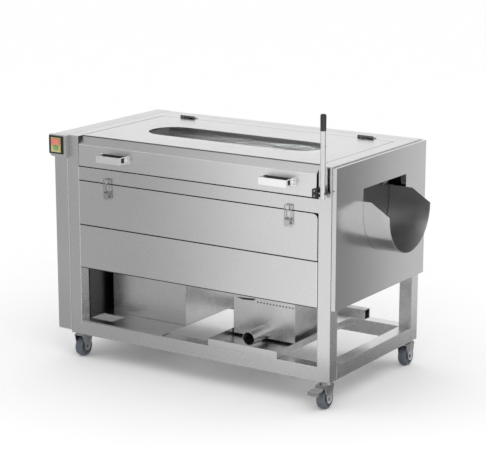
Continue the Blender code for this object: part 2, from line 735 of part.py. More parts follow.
def build_lid():
    """The folded lid with its feed slot, hinge leaves and bolted handles."""
    front_low = TOP - LID_FRONT
    skirt = TOP - LID_SKIRT
    outer = lid_profile(0.0, skirt, front_low, LID_REAR)
    outer += [(LID_SKIRT + LID_BEVEL_RUN, skirt), (LID_SKIRT, TOP - LID_BEVEL_DROP - LID_SKIRT / 2),
              (LID_SKIRT, front_low)]
    hollow = lid_profile(SHEET, front_low - OVERRUN, front_low - OVERRUN, LID_REAR - SHEET)
    slot = slot_outline((LID_LEFT + LID_RIGHT) / 2, FEED_FRONT + FEED_WIDTH / 2, FEED_LENGTH, FEED_WIDTH)
    solids = [prism("X", outer, LID_LEFT, LID_RIGHT)]
    cuts = [prism("X", hollow, LID_LEFT + SHEET, LID_RIGHT - SHEET),
            prism("Z", slot, TOP - LID_SKIRT, TOP + OVERRUN)]
    seat = TOP
    for x in HINGE_PLACES.values():
        half = HINGE_LENGTH * HINGE_MIDDLE_SHARE / 2 - RUN
        solids.append(rod("X", HINGE_AXIS, HINGE_KNUCKLE, x - half, x + half))
        solids.append(block((x - half, LID_REAR - HINGE_LEAF, seat - SHEET / 2),
                            (x + half, RIM_EDGE - HINGE_KNUCKLE / 2, seat + HINGE_SHEET)))
        solids.append(block((x - half, RIM_EDGE - HINGE_KNUCKLE, seat + GAP),
                            (x + half, RIM_EDGE, seat + HINGE_SHEET)))
        cuts.append(bore("X", HINGE_AXIS, HINGE_PIN + RUN, x - half - OVERRUN, x + half + OVERRUN))
    lid = make("lid", STEEL, solids, cuts, (LID_LEFT, *HINGE_AXIS))
    build_handle("lid_handle_left", HANDLE_LEFT, HANDLE_LENGTH, lid)
    build_handle("lid_handle_right", FRAME_LENGTH - HANDLE_RIGHT, HANDLE_RIGHT_LENGTH, lid)
    for place, x in HINGE_PLACES.items():
        build_hinge("lid_hinge_" + place, x)


def build_hinge(name, x):
    """The rim's hinge leaf with its two outer knuckles and the pin."""
    half = HINGE_LENGTH / 2
    inner = HINGE_LENGTH * HINGE_MIDDLE_SHARE / 2
    low = TOP + GAP
    solids = [block((x - half, RIM_EDGE + HINGE_KNUCKLE + RUN, low),
                    (x + half, RIM_EDGE + HINGE_LEAF, low + HINGE_SHEET)),
              rod("X", HINGE_AXIS, HINGE_PIN, x - half, x + half)]
    for start, end in ((x - half, x - inner), (x + inner, x + half)):
        solids.append(rod("X", HINGE_AXIS, HINGE_KNUCKLE, start, end))
        solids.append(block((start, RIM_EDGE, low), (end, RIM_EDGE + HINGE_LEAF / 2, low + HINGE_SHEET)))
    make(name, DARK_STEEL, solids, (), (x, *HINGE_AXIS))


def build_handle(name, x, length, lid):
    """A flat bar bent to a grip, with two feet on the lid's front."""
    half = length / 2
    high = TOP - HANDLE_BELOW_TOP
    low = high - HANDLE_HEIGHT
    foot = -GAP
    solids = [block((x - half, -HANDLE_REACH, low), (x + half, -HANDLE_REACH + HANDLE_BAR, high))]
    for side in (-1, 1):
        ends = sorted((x + side * half, x + side * (half - HANDLE_BAR)))
        solids.append(block((ends[0], -HANDLE_REACH, low), (ends[1], foot, high)))
        ends = sorted((x + side * (half - HANDLE_BAR), x + side * (half + HANDLE_FOOT)))
        solids.append(block((ends[0], foot - HANDLE_BAR, low), (ends[1], foot, high)))
    middle = -(HANDLE_REACH + HANDLE_BAR) / 2
    reach = HANDLE_WINDOW / 2
    window = block((x - half - OVERRUN, middle - reach, low + (HANDLE_HEIGHT - HANDLE_WINDOW) / 2),
                   (x + half + OVERRUN, middle + reach, high - (HANDLE_HEIGHT - HANDLE_WINDOW) / 2))
    make(name, STEEL, solids, [window], None, lid)


# Front panels and latches

def build_panels():
    """The swing-down access panel and the fixed lower panel."""
    outside, inside = tray((PANEL_LEFT, 0.0, LOWER_LOW), (PANEL_RIGHT, PANEL_DEPTH, LOWER_TOP), "+Y")
    make("lower_panel", STEEL, [outside], [inside])

    outline = [(PANEL_LEFT, ACCESS_TOP), (PANEL_LEFT, ACCESS_LOW), (PANEL_RIGHT, ACCESS_LOW)]
    corner = (PANEL_RIGHT - PANEL_CORNER, ACCESS_TOP - PANEL_CORNER)
    outline += arc(corner, PANEL_CORNER, 0.0, math.pi / 2, BEND_STEPS)
    solids = [prism("Y", outline, 0.0, PANEL_DEPTH)]
    cuts = [block((PANEL_LEFT + SHEET, SHEET, ACCESS_LOW + SHEET),
                  (PANEL_RIGHT - PANEL_CORNER, PANEL_DEPTH + OVERRUN, ACCESS_TOP - SHEET)),
            block((PANEL_RIGHT - PANEL_CORNER - SHEET, SHEET, ACCESS_LOW + SHEET),
                  (PANEL_RIGHT - SHEET, PANEL_DEPTH + OVERRUN, ACCESS_TOP - PANEL_CORNER))]
    for start, end in ((TUBE - PANEL_PIN_GRIP, PANEL_LEFT + SHEET),
                       (PANEL_RIGHT - SHEET, RIGHT_POST + PANEL_PIN_GRIP)):
        solids.append(rod("X", PANEL_AXIS, PANEL_PIN, start, end))
    base_low = CROSSBAR_LOW - LATCH_BASE_LOW
    for x in LATCH_PLACES.values():
        solids.append(block((x - LATCH_HALF_WIDTH, -LATCH_BASE_SHEET, base_low),
                            (x + LATCH_HALF_WIDTH, SHEET / 2, base_low + LATCH_BASE_HEIGHT)))
        for side in (-1, 1):
            ends = sorted((x + side * LATCH_EAR_IN, x + side * LATCH_EAR_OUT))
            solids.append(block((ends[0], LATCH_AXIS[0], LATCH_AXIS[1] - LATCH_EAR_RADIUS),
                                (ends[1], SHEET / 2, LATCH_AXIS[1] + LATCH_EAR_RADIUS)))
            solids.append(rod("X", LATCH_AXIS, LATCH_EAR_RADIUS, ends[0], ends[1]))
        cuts.append(bore("X", LATCH_AXIS, LATCH_PIN + GAP,
                         x - LATCH_EAR_OUT - OVERRUN, x + LATCH_EAR_OUT + OVERRUN, PIN_SIDES))
    panel = make("access_panel", STEEL, solids, cuts, (PANEL_LEFT, *PANEL_AXIS))
    for place, x in LATCH_PLACES.items():
        build_latch(place, x, panel)


def build_latch(place, x, panel):
    """A toggle lever on the panel's ears and the bail that it draws over the keeper."""
    y, z = LATCH_AXIS
    side_in = LATCH_EAR_OUT + GAP
    front = y - LATCH_FACE_FAR
    solids = [block((x - LATCH_SIDE_OUT, front, z - LATCH_HANDLE),
                    (x + LATCH_SIDE_OUT, y - LATCH_FACE_NEAR, z - LATCH_FACE_BELOW))]
    bail_axis = (y, z - LATCH_CRANK)
    for side in (-1, 1):
        ends = sorted((x + side * side_in, x + side * LATCH_SIDE_OUT))
        solids.append(block((ends[0], front, z - LATCH_SIDE_TAIL),
                            (ends[1], y + LATCH_SIDE_REAR / 2, z + LATCH_SIDE_TOP)))
        solids.append(rod("X", LATCH_AXIS, LATCH_SIDE_REAR, ends[0], ends[1], EYE_SIDES))
        ends = sorted((x + side * side_in, x + side * LATCH_HALF_WIDTH))
        solids.append(rod("X", bail_axis, LATCH_PIN, ends[0], ends[1], PIN_SIDES))
    solids.append(rod("X", LATCH_AXIS, LATCH_PIN, x - side_in, x + side_in, PIN_SIDES))
    lever = make("latch_lever_" + place, STEEL, solids, (), (x, *LATCH_AXIS), panel)

    half = BAIL_WIRE / 2
    bar_low = CROSSBAR_LOW + KEEPER_RISE + KEEPER_HEIGHT + GAP
    arm_in = LATCH_SIDE_OUT + GAP
    solids = [block((x - arm_in - BAIL_WIRE, y - half, bar_low),
                    (x + arm_in + BAIL_WIRE, y + half, bar_low + BAIL_WIRE))]
    for side in (-1, 1):
        ends = sorted((x + side * arm_in, x + side * (arm_in + BAIL_WIRE)))
        solids.append(block((ends[0], y - half, bail_axis[1]), (ends[1], y + half, bar_low + BAIL_WIRE)))
        solids.append(rod("X", bail_axis, BAIL_EYE / 2, ends[0], ends[1], EYE_SIDES))
    hole = bore("X", bail_axis, LATCH_PIN + GAP,
                x - arm_in - BAIL_WIRE - OVERRUN, x + arm_in + BAIL_WIRE + OVERRUN, PIN_SIDES)
    make("latch_bail_" + place, STEEL, solids, [hole], (x, *bail_axis), lever)


# Trough, end plates and rollers

def roller_axis(index):
    """The axis of one roller in Y and Z, counted from the front."""
    angle = -math.pi / 2 + (index - (ROLLER_COUNT - 1) / 2) * ROLLER_STEP
    return (TROUGH_Y + ROLLER_PITCH * math.cos(angle), TROUGH_Z + ROLLER_PITCH * math.sin(angle))


def end_plate(name, low_x, low_z, boss_start, boss_end, cuts):
    """A plate between the posts with a bearing boss for each roller."""
    solids = [block((low_x, TUBE + GAP, low_z),
                    (low_x + PLATE, REAR_TUBE - GAP, TOP - PLATE_BELOW_TOP))]
    cuts = list(cuts)
    ends = (min(low_x, boss_start) - OVERRUN, max(low_x + PLATE, boss_end) + OVERRUN)
    for index in range(ROLLER_COUNT):
        axis = roller_axis(index)
        solids.append(rod("X", axis, BOSS_RADIUS, boss_start, boss_end, BOSS_SIDES))
        cuts.append(bore("X", axis, SHAFT_RADIUS + GAP, *ends, BOSS_SIDES))
    cuts.append(bore("X", PIPE_AXIS, PIPE_RADIUS + GAP, *ends))
    make(name, STEEL, solids, cuts)


def build_chamber():
    """The wash trough between the end plates, with its water pipe."""
    drive_hole = bore("X", DRIVE_AXIS, DRIVE_SHAFT + 2 * RUN,
                      LEFT_PLATE - OVERRUN, LEFT_PLATE + PLATE + OVERRUN)
    end_plate("left_end_plate", LEFT_PLATE, SHELF_TOP + GAP,
              LEFT_PLATE - BOSS_LENGTH, LEFT_PLATE + PLATE / 2, [drive_hole])
    mouth = u_outline(CHUTE_AXIS, MOUTH_RADIUS, TOP - MOUTH_BELOW_TOP, CHUTE_STEPS)
    outer_face = RIGHT_PLATE + PLATE
    end_plate("right_end_plate", RIGHT_PLATE, TOP - PLATE_FOOT,
              outer_face - PLATE / 2, outer_face + BOSS_LENGTH,
              [prism("X", mouth, RIGHT_PLATE - OVERRUN, outer_face + OVERRUN)])

    centre = (TROUGH_Y, TROUGH_Z)
    high = TOP - TROUGH_BELOW_TOP
    outline = [(TROUGH_Y - TROUGH_OUTER, high)]
    outline += arc(centre, TROUGH_OUTER, math.pi, math.tau, TROUGH_STEPS)
    outline += [(TROUGH_Y + TROUGH_OUTER, high), (TROUGH_Y + TROUGH_INNER, high)]
    outline += arc(centre, TROUGH_INNER, math.tau, math.pi, TROUGH_STEPS)
    outline += [(TROUGH_Y - TROUGH_INNER, high)]
    start = LEFT_PLATE + PLATE + GAP
    end = RIGHT_PLATE - GAP
    drain = block((SUMP_CENTRE - DRAIN_SLOT_LENGTH / 2, TROUGH_Y - DRAIN_SLOT_WIDTH / 2,
                   TROUGH_Z - TROUGH_OUTER - OVERRUN),
                  (SUMP_CENTRE + DRAIN_SLOT_LENGTH / 2, TROUGH_Y + DRAIN_SLOT_WIDTH / 2,
                   TROUGH_Z - TROUGH_INNER + OVERRUN))
    y, z = PIPE_AXIS
    branch = (INLET_X, z)
    inlet = bore("Y", branch, PIPE_RADIUS + RUN,
                 TROUGH_Y + TROUGH_INNER - OVERRUN, TROUGH_Y + TROUGH_OUTER + OVERRUN)
    make("wash_trough", STEEL, [prism("X", outline, start, end)], [drain, inlet])

    first = LEFT_PLATE - PIPE_PAST
    last = RIGHT_PLATE + PLATE + PIPE_PAST
    hollow = PIPE_RADIUS - PIPE_WALL
    solids = [rod("X", PIPE_AXIS, PIPE_RADIUS, first, last),
              rod("Y", branch, PIPE_RADIUS, y, REAR_MOST)]
    cuts = [rod("X", PIPE_AXIS, hollow, first + PIPE_WALL, last - PIPE_WALL),
            rod("Y", branch, hollow, y, REAR_MOST + OVERRUN),
            block((start + SPRAY_END, y - PIPE_RADIUS - OVERRUN, z - SPRAY_SLIT / 2),
                  (end - SPRAY_END, y, z + SPRAY_SLIT / 2))]
    make("spray_pipe", STEEL, solids, cuts)


def build_rollers():
    """Brush rollers along the trough, each with its shaft and sprocket."""
    brush_start = LEFT_PLATE + PLATE + BRUSH_END_GAP
    brush_end = RIGHT_PLATE - BRUSH_END_GAP
    shaft_end = RIGHT_PLATE + PLATE + BOSS_LENGTH
    half = SPROCKET_THICK / 2
    for index in range(ROLLER_COUNT):
        middle = index == ROLLER_COUNT // 2
        profile = []
        if middle:
            profile += [(-SECOND_END_OUT, SHAFT_RADIUS), (-SECOND_OUT - half, SHAFT_RADIUS),
                        (-SECOND_OUT - half, SECOND_RADIUS), (-SECOND_OUT + half, SECOND_RADIUS),
                        (-SECOND_OUT + half, SHAFT_RADIUS)]
        else:
            profile.append((-SHAFT_END_OUT, SHAFT_RADIUS))
        profile += [(-SPROCKET_OUT - half, SHAFT_RADIUS), (-SPROCKET_OUT - half, SPROCKET_RADIUS),
                    (-SPROCKET_OUT + half, SPROCKET_RADIUS), (-SPROCKET_OUT + half, SHAFT_RADIUS),
                    (brush_start, SHAFT_RADIUS), (brush_start, BRUSH_RADIUS),
                    (brush_end, BRUSH_RADIUS), (brush_end, SHAFT_RADIUS), (shaft_end, SHAFT_RADIUS)]
        axis = roller_axis(index)
        make("brush_roller_" + str(index + 1), BRISTLE, [turned("X", axis, profile, ROLLER_SIDES)],
             (), (brush_start, *axis))


# Chain drive

def belt(first, first_radius, second, second_radius, steps):
    """The outline of a taut loop round two circles."""
    reach = math.dist(first, second)
    lean = math.atan2(second[1] - first[1], second[0] - first[0])
    spread = math.acos((first_radius - second_radius) / reach)
    points = arc(first, first_radius, lean + spread, lean + math.tau - spread, steps)
    return points + arc(second, second_radius, lean - spread, lean + spread, steps)


def roller_loop(radius, steps):
    """The outline of the loop round all the roller sprockets."""
    half_angle = ROLLER_STEP * (ROLLER_COUNT - 1) / 2
    first, last = roller_axis(0), roller_axis(ROLLER_COUNT - 1)
    flat = math.cos(ROLLER_STEP / 4)
    points = arc((TROUGH_Y, TROUGH_Z), (ROLLER_PITCH + radius) / flat,
                 -math.pi / 2 - half_angle, -math.pi / 2 + half_angle, 2 * (ROLLER_COUNT - 1))
    points += arc(last, radius / flat, -math.pi / 2 + half_angle + ROLLER_STEP, math.pi / 2, steps)
    return points + arc(first, radius / flat, math.pi / 2, math.pi * 1.5 - half_angle - ROLLER_STEP, steps)


def build_drive():
    """The output sprocket and shaft, and the two chains."""
    half = SPROCKET_THICK / 2
    grip = REDUCER_LEFT - REDUCER_HUB_LENGTH + DRIVE_GRIP
    profile = [(-SECOND_END_OUT, DRIVE_SHAFT), (-SECOND_OUT - half, DRIVE_SHAFT),
               (-SECOND_OUT - half, SPROCKET_RADIUS), (-SECOND_OUT + half, SPROCKET_RADIUS),
               (-SECOND_OUT + half, DRIVE_SHAFT), (grip, DRIVE_SHAFT)]
    make("drive_sprocket", DARK_STEEL, [turned("X", DRIVE_AXIS, profile, ROLLER_SIDES)],
         (), (-SECOND_OUT, *DRIVE_AXIS))

    inner = SPROCKET_RADIUS + CHAIN_CLEARANCE
    low = -SPROCKET_OUT - CHAIN_WIDTH / 2
    make("roller_chain", DARK_STEEL,
         [prism("X", roller_loop(inner + CHAIN_THICK, 5), low, low + CHAIN_WIDTH)],
         [prism("X", roller_loop(inner, 5), low - OVERRUN, low + CHAIN_WIDTH + OVERRUN)])

    middle = roller_axis(ROLLER_COUNT // 2)
    flat = math.cos(math.pi / ROLLER_SIDES)
    small = (SPROCKET_RADIUS + CHAIN_CLEARANCE) / flat
    large = (SECOND_RADIUS + CHAIN_CLEARANCE) / flat
    low = -SECOND_OUT - CHAIN_WIDTH / 2
    make("motor_chain", DARK_STEEL,
         [prism("X", belt(middle, large + CHAIN_THICK, DRIVE_AXIS, small + CHAIN_THICK, 8),
                low, low + CHAIN_WIDTH)],
         [prism("X", belt(middle, large, DRIVE_AXIS, small, 8),
                low - OVERRUN, low + CHAIN_WIDTH + OVERRUN)])


# Covers

def build_covers():
    """The deep gear cover, the right side cover and the rear cover."""
    low, rear = BOTTOM + GEAR_COVER_LOW, GEAR_COVER_REAR
    bend = GEAR_COVER_CORNER
    outline = [(0.0, TOP)]
    inner = [(SHEET, TOP - SHEET)]
    for spot, start in (((bend, low + bend), math.pi), ((rear - bend, low + bend), math.pi * 1.5)):
        outline += arc(spot, bend, start, start + math.pi / 2, BEND_STEPS)
        inner += arc(spot, bend - SHEET, start, start + math.pi / 2, BEND_STEPS)
    outline.append((rear, TOP))
    inner.append((rear - SHEET, TOP - SHEET))
    make("gear_cover", STEEL, [prism("X", outline, -GEAR_COVER_OUT, -GEAR_COVER_SEAT)],
         [prism("X", inner, -GEAR_COVER_OUT + SHEET, -GEAR_COVER_SEAT + OVERRUN)])

    near = FRAME_LENGTH + GAP
    outside, inside = tray((near, SIDE_COVER_FRONT, TOP - SIDE_COVER_FOOT),
                           (near + SIDE_COVER_DEPTH, SIDE_COVER_REAR, TOP - SIDE_COVER_BELOW_TOP), "-X")
    centre = (CHUTE_AXIS[0] + CUT_OFFSET, CHUTE_AXIS[1])
    opening = CHUTE_RADIUS + CUT_CLEARANCE
    cut = u_outline(centre, opening, TOP - CUT_BELOW_TOP, CHUTE_STEPS)
    jamb = block((near + SIDE_COVER_DEPTH - JAMB_DEPTH, centre[0] + opening, TOP - JAMB_BELOW_TOP),
                 (near + SIDE_COVER_DEPTH, centre[0] + opening + SHEET, TOP - CUT_BELOW_TOP))
    far = near + SIDE_COVER_DEPTH + OVERRUN
    make("side_cover", STEEL, [outside], [inside, prism("X", cut, near - OVERRUN, far)], added=[jamb])

    front = FRAME_DEPTH + COVER_GAP
    outside, inside = tray((0.0, front, TOP - SIDE_COVER_FOOT),
                           (FRAME_LENGTH, front + REAR_COVER_DEPTH, TOP - SIDE_COVER_BELOW_TOP), "-Y")
    hole = bore("Y", (INLET_X, PIPE_AXIS[1]), PIPE_RADIUS + RUN, front, REAR_MOST + OVERRUN)
    make("rear_cover", STEEL, [outside], [inside, hole])


# Discharge gate, chute and lever

def build_discharge():
    """The sliding gate behind the half-round chute."""
    high, step = TOP - GATE_BELOW_TOP, TOP - GATE_STEP_BELOW_TOP
    plate = arc(CHUTE_AXIS, GATE_RADIUS, math.pi, math.tau, CHUTE_STEPS)
    plate += [(CHUTE_AXIS[0] + GATE_RADIUS, step), (GATE_STEP_Y, step), (GATE_STEP_Y, high),
              (CHUTE_AXIS[0] - GATE_RADIUS, high)]
    start = CHUTE_AXIS[0] - GATE_RADIUS
    tongue_low, tongue_high = LEVER_AXIS[1] - TONGUE_HALF, LEVER_AXIS[1] + TONGUE_HALF
    outer = TONGUE_LOW_X + TONGUE_THICK
    end = start + BRACKET_LENGTH
    solids = [prism("X", plate, GATE_X, GATE_X + GATE_SHEET),
              block((GATE_X, start, high - GATE_SHEET), (GATE_X + GATE_SHEET, end, tongue_high)),
              block((GATE_X, start, tongue_high - GATE_SHEET), (outer, end, tongue_high)),
              block((TONGUE_LOW_X, LEVER_AXIS[0] - TONGUE_PAST_PIVOT, tongue_low), (outer, end, tongue_high))]
    make("discharge_gate", STEEL, solids)

    side_top = CHUTE_AXIS[1] + CHUTE_SIDE
    shell = u_outline(CHUTE_AXIS, CHUTE_RADIUS, side_top, CHUTE_STEPS)
    hollow = u_outline(CHUTE_AXIS, CHUTE_RADIUS - CHUTE_WALL, side_top + OVERRUN, CHUTE_STEPS)
    flange = u_outline(CHUTE_AXIS, CHUTE_RADIUS + CHUTE_FLANGE, side_top, CHUTE_STEPS)
    spacer = u_outline(CHUTE_AXIS, CHUTE_RADIUS - GAP, side_top + OVERRUN, CHUTE_STEPS)
    slant = [(CHUTE_END - CHUTE_SLANT, side_top), (CHUTE_END, CHUTE_AXIS[1]),
             (CHUTE_END + OVERRUN, CHUTE_AXIS[1]), (CHUTE_END + OVERRUN, side_top + OVERRUN),
             (CHUTE_END - CHUTE_SLANT, side_top + OVERRUN)]
    cut_low, cut_high = CHUTE_AXIS[0] - CHUTE_RADIUS - OVERRUN, CHUTE_AXIS[0] + CHUTE_RADIUS + OVERRUN
    solids = [prism("X", shell, CHUTE_X, CHUTE_END),
              prism("X", flange, GATE_X, CHUTE_X + CHUTE_FLANGE_SHEET)]
    cuts = [prism("X", hollow, CHUTE_X - OVERRUN, CHUTE_END + OVERRUN),
            prism("X", spacer, GATE_X - OVERRUN, CHUTE_X),
            prism("Y", slant, cut_low, cut_high)]
    make("discharge_chute", STEEL, solids, cuts)


def build_lever():
    """The hand lever with its crank, the grip and the bearing block on the post."""
    y, z = LEVER_AXIS
    x = LEVER_CENTRE
    rod_top = TOP + LEVER_ABOVE_TOP - GRIP_CAP - GAP
    block_right = FRAME_LENGTH - BLOCK_RIGHT
    block_left = block_right - BLOCK_WIDTH
    crank_end = CRANK_LOW_X + CRANK_THICK
    crank = [(y, z - CRANK_HALF), (y, z + CRANK_HALF), (y + CRANK_LENGTH, z + CRANK_HALF)]
    crank += [(y + CRANK_LENGTH + CRANK_HALF / 2, z), (y + CRANK_LENGTH, z - CRANK_HALF)]
    pin = (y + CRANK_LENGTH - CRANK_HALF, z)
    solids = [rod("Z", (x, y), LEVER_ROD, z - LEVER_TAIL, rod_top, BAR_SIDES),
              rod("X", LEVER_AXIS, LEVER_SHAFT, block_left + PLATE, x),
              prism("X", crank, CRANK_LOW_X, crank_end),
              rod("X", pin, CRANK_PIN, CRANK_LOW_X, TONGUE_LOW_X - GAP, PIN_SIDES)]
    lever = make("gate_lever", STEEL, solids, (), (x, y, z))

    grip_low = TOP + LEVER_ABOVE_TOP - GRIP_LENGTH
    sleeve = rod("Z", (x, y), GRIP_RADIUS, grip_low, TOP + LEVER_ABOVE_TOP, BAR_SIDES)
    socket = bore("Z", (x, y), LEVER_ROD + GAP, grip_low - OVERRUN, rod_top + GAP, BAR_SIDES)
    make("lever_grip", BLACK_PLASTIC, [sleeve], [socket], None, lever)

    body = block((block_left, -BLOCK_DEPTH, z - BLOCK_HEIGHT / 2),
                 (block_right, -GAP, z + BLOCK_HEIGHT / 2))
    hole = bore("X", LEVER_AXIS, LEVER_SHAFT + RUN, block_left - OVERRUN, block_right + OVERRUN)
    make("lever_block", BLACK_PLASTIC, [body], [hole])


# Controls

def build_button(name, finish, centre_x, centre_z, width, height, raised):
    """A push button with an inner flange that keeps it in the box."""
    face = -CONTROL_DEPTH - GAP - SWITCH_PLATE - GAP
    inner = -CONTROL_DEPTH - GAP + SHEET + GAP
    flange = inner + SHEET
    solids = [block((centre_x - width / 2, face - raised, centre_z - height / 2),
                    (centre_x + width / 2, flange, centre_z + height / 2)),
              block((centre_x - width / 2 - BUTTON_FLANGE, inner, centre_z - height / 2 - BUTTON_FLANGE),
                    (centre_x + width / 2 + BUTTON_FLANGE, flange, centre_z + height / 2 + BUTTON_FLANGE))]
    make(name, finish, solids)


def button_hole(centre_x, centre_z, width, height):
    """A cutter through the switch plate and the box front."""
    reach_x, reach_z = width / 2 + BUTTON_RUN, height / 2 + BUTTON_RUN
    return block((centre_x - reach_x, -CONTROL_DEPTH - SWITCH_PLATE - OVERRUN, centre_z - reach_z),
                 (centre_x + reach_x, -CONTROL_DEPTH + SHEET + OVERRUN / 2, centre_z + reach_z))


def build_controls():
    """The control box on the gear cover's front edge, with stop and start buttons."""
    left, right = -CONTROL_LEFT, -CONTROL_LEFT + CONTROL_WIDTH
    low, high = TOP - CONTROL_HEIGHT, TOP
    front, back = -CONTROL_DEPTH - GAP, -GAP
    bend = CONTROL_CORNER
    outline = [(left, high), (left, low + bend), (left + bend, low), (right, low), (right, high)]
    switch_left = left + SWITCH_MARGIN
    centre = switch_left + SWITCH_WIDTH / 2
    stop = (centre, TOP - STOP_BELOW, STOP_WIDTH, STOP_HEIGHT)
    start = (centre, TOP - START_BELOW, START_WIDTH, START_HEIGHT)
    holes = [button_hole(*stop), button_hole(*start)]
    hollow = block((left + bend, front + SHEET, low + bend), (right - SHEET, back + OVERRUN, high - SHEET))
    make("control_box", STEEL, [prism("Y", outline, front, back)], [hollow] + holes)
    plate = block((switch_left, front - GAP - SWITCH_PLATE, TOP - SWITCH_TOP - SWITCH_HEIGHT),
                  (switch_left + SWITCH_WIDTH, front - GAP, TOP - SWITCH_TOP))
    make("switch_plate", BLACK_PLASTIC, [plate], holes)
    build_button("stop_button", RED_PLASTIC, *stop, STOP_RAISE)
    build_button("start_button", GREEN_PLASTIC, *start, START_RAISE)


# Motor bay

def build_motor_bay():
    """The shelf, the geared motor and the motor cover."""
    low = RAIL_TOP + GAP
    hole = block((SHELF_HOLE_LEFT, SHELF_HOLE_FRONT, low - OVERRUN),
                 (SHELF_HOLE_LEFT + SHELF_HOLE_LENGTH, SHELF_HOLE_FRONT + SHELF_HOLE_WIDTH,
                  SHELF_TOP + OVERRUN))
    shelf = block((TUBE + GAP, SHELF_FRONT, low), (MOTOR_COVER_RIGHT, FRAME_DEPTH - SHELF_FRONT, SHELF_TOP))
    make("motor_shelf", STEEL, [shelf], [hole])

    seat = SHELF_TOP + GAP
    cover_rear = FRAME_DEPTH - MOTOR_COVER_REAR
    outside, inside = tray((MOTOR_COVER_LEFT, MOTOR_COVER_FRONT, seat),
                           (MOTOR_COVER_RIGHT, cover_rear, BOTTOM + MOTOR_COVER_HIGH), "-Z")
    shaft_hole = bore("X", DRIVE_AXIS, DRIVE_SHAFT + 2 * RUN,
                      MOTOR_COVER_LEFT - OVERRUN, MOTOR_COVER_LEFT + SHEET + OVERRUN / 2)
    make("motor_cover", STEEL, [outside], [inside, shaft_hole])

    y, z = DRIVE_AXIS
    reducer_right = REDUCER_LEFT + REDUCER_LENGTH
    half = REDUCER_WIDTH / 2
    hub = REDUCER_LEFT - REDUCER_HUB_LENGTH
    solids = [block((REDUCER_LEFT, y - half, seat), (reducer_right, y + half, z + REDUCER_ABOVE)),
              rod("X", DRIVE_AXIS, REDUCER_HUB, hub, REDUCER_LEFT + PLATE, BAR_SIDES)]
    socket = bore("X", DRIVE_AXIS, DRIVE_SHAFT + GAP, hub - OVERRUN, hub + DRIVE_GRIP + RUN, ROLLER_SIDES)
    make("gear_reducer", PAINT, solids, [socket])

    start = reducer_right + GAP
    end = start + MOTOR_LENGTH
    centre = (start + end) / 2
    foot, box = MOTOR_FOOT_WIDTH / 2, MOTOR_BOX / 2
    solids = [rod("X", DRIVE_AXIS, MOTOR_RADIUS, start, end, BAR_SIDES),
              block((centre - foot, y - foot, seat), (centre + foot, y + foot, z - MOTOR_RADIUS / 2)),
              block((centre - box, y - box, z), (centre + box, y + box, z + MOTOR_RADIUS + MOTOR_BOX_RISE))]
    make("drive_motor", PAINT, solids)


# Sump and drip tray

def build_wet_end():
    """The sump under the trough with its drain pipe and overflow duct, and the drip tray."""
    low = BOTTOM + SUMP_LOW
    high = low + (TROUGH_Z - TROUGH_OUTER - low) * SUMP_SHARE
    rear = SUMP_FRONT + SUMP_DEPTH
    half_x = DRAIN_SLOT_LENGTH / 2 + NECK_LIP
    half_y = DRAIN_SLOT_WIDTH / 2 + NECK_LIP
    neck_top = TROUGH_Z - TROUGH_OUTER - GAP
    drain_axis = (FRAME_LENGTH - DRAIN_TO_RIGHT, BOTTOM + DRAIN_Z)
    duct_low = low + (high - low) * DUCT_SHARE
    duct_end = FRAME_LENGTH - DUCT_TO_RIGHT
    solids = [block((SUMP_LEFT, SUMP_FRONT, low), (SUMP_RIGHT, rear, high)),
              block((SUMP_CENTRE - half_x, TROUGH_Y - half_y, high - SHEET),
                    (SUMP_CENTRE + half_x, TROUGH_Y + half_y, neck_top)),
              block((SUMP_RIGHT - SHEET, DUCT_FRONT, duct_low),
                    (duct_end, DUCT_FRONT + DUCT_SIZE, duct_low + DUCT_SIZE)),
              rod("Y", drain_axis, DRAIN_RADIUS, DRAIN_MOUTH, SUMP_FRONT + SHEET / 2, BAR_SIDES)]
    cuts = [block((SUMP_LEFT + SHEET, SUMP_FRONT + SHEET, low + SHEET),
                  (SUMP_RIGHT - SHEET, rear - SHEET, high - SHEET)),
            block((SUMP_CENTRE - half_x + SHEET, TROUGH_Y - half_y + SHEET, high - 2 * SHEET),
                  (SUMP_CENTRE + half_x - SHEET, TROUGH_Y + half_y - SHEET, neck_top + OVERRUN)),
            block((SUMP_RIGHT - OVERRUN, DUCT_FRONT + DUCT_WALL, duct_low + DUCT_WALL),
                  (duct_end + OVERRUN, DUCT_FRONT + DUCT_SIZE - DUCT_WALL, duct_low + DUCT_SIZE - DUCT_WALL)),
            rod("Y", drain_axis, DRAIN_RADIUS - DRAIN_WALL,
                DRAIN_MOUTH - OVERRUN, SUMP_FRONT + OVERRUN, BAR_SIDES)]
    make("sump_box", STEEL, solids, cuts)

    tray_low = RAIL_TOP + GAP
    tray_right = FRAME_LENGTH - TRAY_TO_RIGHT
    outside, inside = tray((tray_right - TRAY_LENGTH, 0.0, tray_low),
                           (tray_right, FRAME_DEPTH - TRAY_SHORT, tray_low + TRAY_HEIGHT), "+Z")
    make("drip_tray", STEEL, [outside], [inside])


build_frame()
build_casters()
build_lid()
build_panels()
build_chamber()
build_rollers()
build_drive()
build_covers()
build_discharge()
build_lever()
build_controls()
build_motor_bay()
build_wet_end()
bpy.context.view_layer.update()
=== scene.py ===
"""Looks of the vegetable washing and peeling machine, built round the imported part.

Metres, +Z up, front towards -Y. Every piece stands where its CAD node stands.
"""

import json
import math

